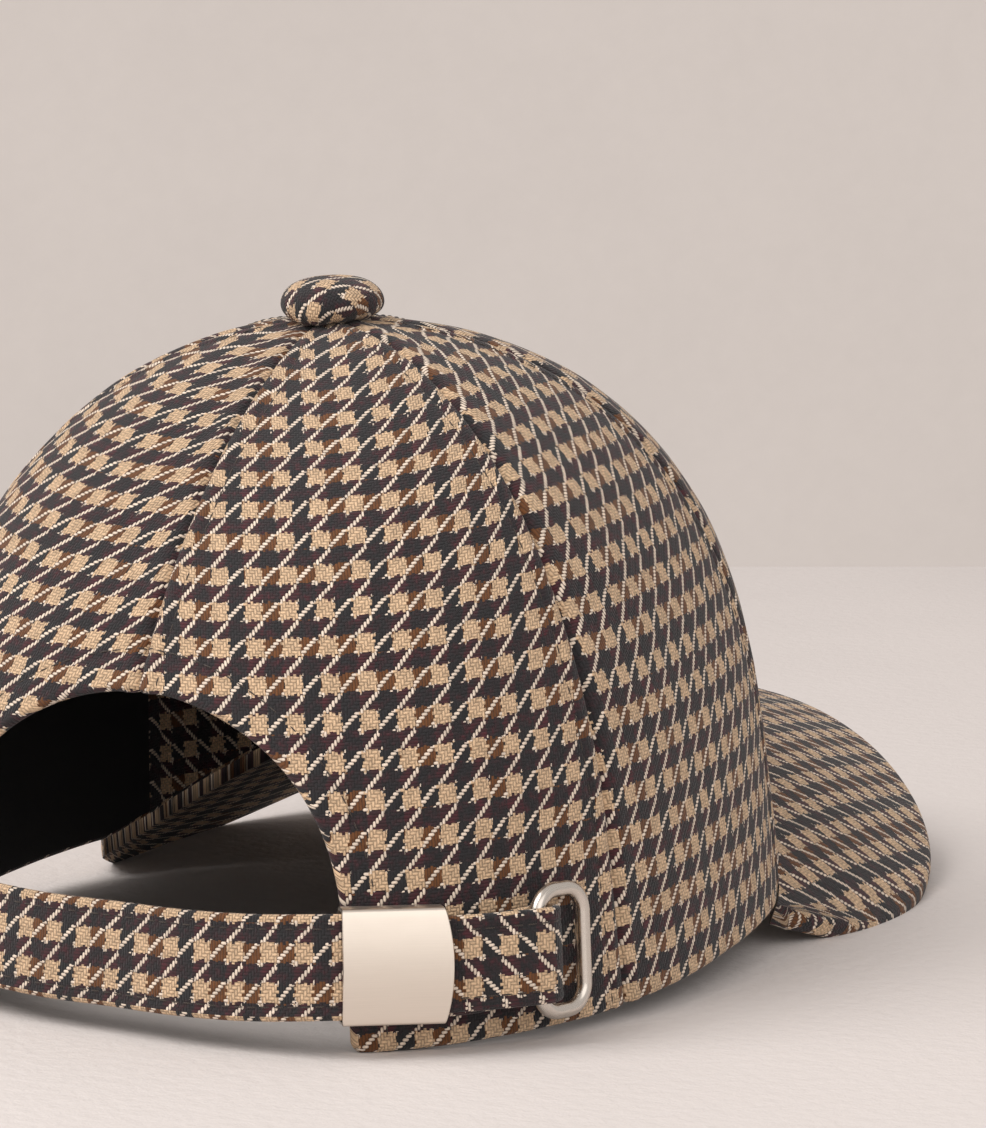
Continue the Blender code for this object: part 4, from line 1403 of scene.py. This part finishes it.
def plaster_material(name, colour, roughness, cloud, grain):
    """Pale mineral surface with soft clouds and a fine grain."""
    material, shader = new_material(name, colour, roughness)
    tree = material.node_tree
    place = tree.nodes.new("ShaderNodeTexCoord").outputs["Object"]
    clouds = soft_noise(tree, place, cloud, 5.0, 0.55)
    speck = soft_noise(tree, place, grain, 3.0, 0.6)
    tone = (clouds - 0.5) * 0.10 + (speck - 0.5) * 0.05 + 1.0
    tree.links.new(mix_colours(tree, 1.0, colour, grey(tree, tone), "MULTIPLY"), shader.inputs["Base Color"])
    bump(tree, shader, speck.socket, 0.0004)
    return material


def stage_sheet(name, corners, material):
    """A flat sheet of the room, which isn't part of the cap."""
    mesh = bpy.data.meshes.new(name)
    mesh.from_pydata(corners, [], [tuple(range(len(corners)))])
    mesh.materials.append(material)
    sheet = bpy.data.objects.new(name, mesh)
    bpy.context.scene.collection.objects.link(sheet)


def soft_light(name, place, target, size, power, colour):
    """A square soft light that faces a point."""
    data = bpy.data.lights.new(name, "AREA")
    data.size = size
    data.energy = power
    data.color = colour
    lamp = bpy.data.objects.new(name, data)
    lamp.location = place
    lamp.rotation_euler = (Vector(place) - Vector(target)).to_track_quat("Z", "Y").to_euler()
    bpy.context.scene.collection.objects.link(lamp)


def build_room(stage):
    """Table, wall and soft light, all set out from the camera's place and heading."""
    turn = math.radians(VIEW_TURN)
    ahead = Vector((math.sin(turn), -math.cos(turn), 0.0))
    right = Vector((-math.cos(turn), -math.sin(turn), 0.0))
    eye = Vector((VIEW_PLACE[0], VIEW_PLACE[1], 0.0))
    half = 0.5 * ROOM_WIDTH
    table = [eye + ahead * depth + right * side
             for depth, side in ((-1.0, -half), (-1.0, half), (TABLE_DEPTH, half), (TABLE_DEPTH, -half))]
    base = eye + ahead * WALL_DEPTH
    wall = [base + right * side + Vector((0.0, 0.0, height))
            for side, height in ((-half, -1.0), (half, -1.0), (half, 2.5), (-half, 2.5))]
    stage_sheet("table", table, plaster_material("table_plaster", stage.table, 0.75, 9.0, 300.0))
    stage_sheet("wall", wall, plaster_material("wall_plaster", stage.wall, 0.9, 5.0, 60.0))
    heart = Vector((0.0, 0.05, 0.06))
    key = heart - right * 0.9 - ahead * 0.35 + Vector((0.0, 0.0, 1.15))
    soft_light("key_light", key, heart, 1.1, stage.key_power, (1.0, 0.97, 0.94))
    fill = heart + right * 0.5 - ahead * 1.3 + Vector((0.0, 0.0, 0.7))
    soft_light("fill_light", fill, heart, 1.4, 0.35 * stage.key_power, (1.0, 0.98, 0.96))
    world = bpy.data.worlds.new("room")
    world.use_nodes = True
    sky = world.node_tree.nodes["Background"]
    sky.inputs["Color"].default_value = (1.0, 0.96, 0.93, 1.0)
    sky.inputs["Strength"].default_value = stage.room_light
    bpy.context.scene.world = world
    bpy.context.scene.view_settings.view_transform = "Standard"


class BuildStage(bpy.types.Operator):
    """Set up the table, the wall, the lights and the camera"""

    bl_idname = "cap.build_stage"
    bl_label = "Stage"

    def execute(self, context):
        build_camera()
        build_room(context.scene.cap_stage)
        return {"FINISHED"}


OPERATORS = (BuildStage, BuildPanels, BuildPeak, BuildButton, BuildStrap, BuildMetal, BuildStitches)


class CapSidebar(bpy.types.Panel):
    """Lists the pieces of the cap"""

    bl_idname = "VIEW3D_PT_cap"
    bl_label = "Tweed cap"
    bl_space_type = "VIEW_3D"
    bl_region_type = "UI"
    bl_category = "Cap"

    def draw(self, context):
        for group in (context.scene.cap_cloth, context.scene.cap_trim, context.scene.cap_stage):
            box = self.layout.box()
            for field in group.__annotations__:
                box.prop(group, field)
        for item in OPERATORS:
            self.layout.operator(item.bl_idname)


CLASSES = (CapClothSettings, CapTrimSettings, CapStageSettings, *OPERATORS, CapSidebar)


def register():
    """Register the classes and the settings."""
    for item in CLASSES:
        bpy.utils.register_class(item)
    bpy.types.Scene.cap_cloth = PointerProperty(type=CapClothSettings)
    bpy.types.Scene.cap_trim = PointerProperty(type=CapTrimSettings)
    bpy.types.Scene.cap_stage = PointerProperty(type=CapStageSettings)


def unregister():
    """Take the settings and the classes away again."""
    del bpy.types.Scene.cap_stage, bpy.types.Scene.cap_trim, bpy.types.Scene.cap_cloth
    for item in reversed(CLASSES):
        bpy.utils.unregister_class(item)


def main():
    """Build the stage and every piece."""
    register()
    for item in OPERATORS:
        group, name = item.bl_idname.split(".")
        getattr(getattr(bpy.ops, group), name)()


if __name__ == "__main__":
    main()
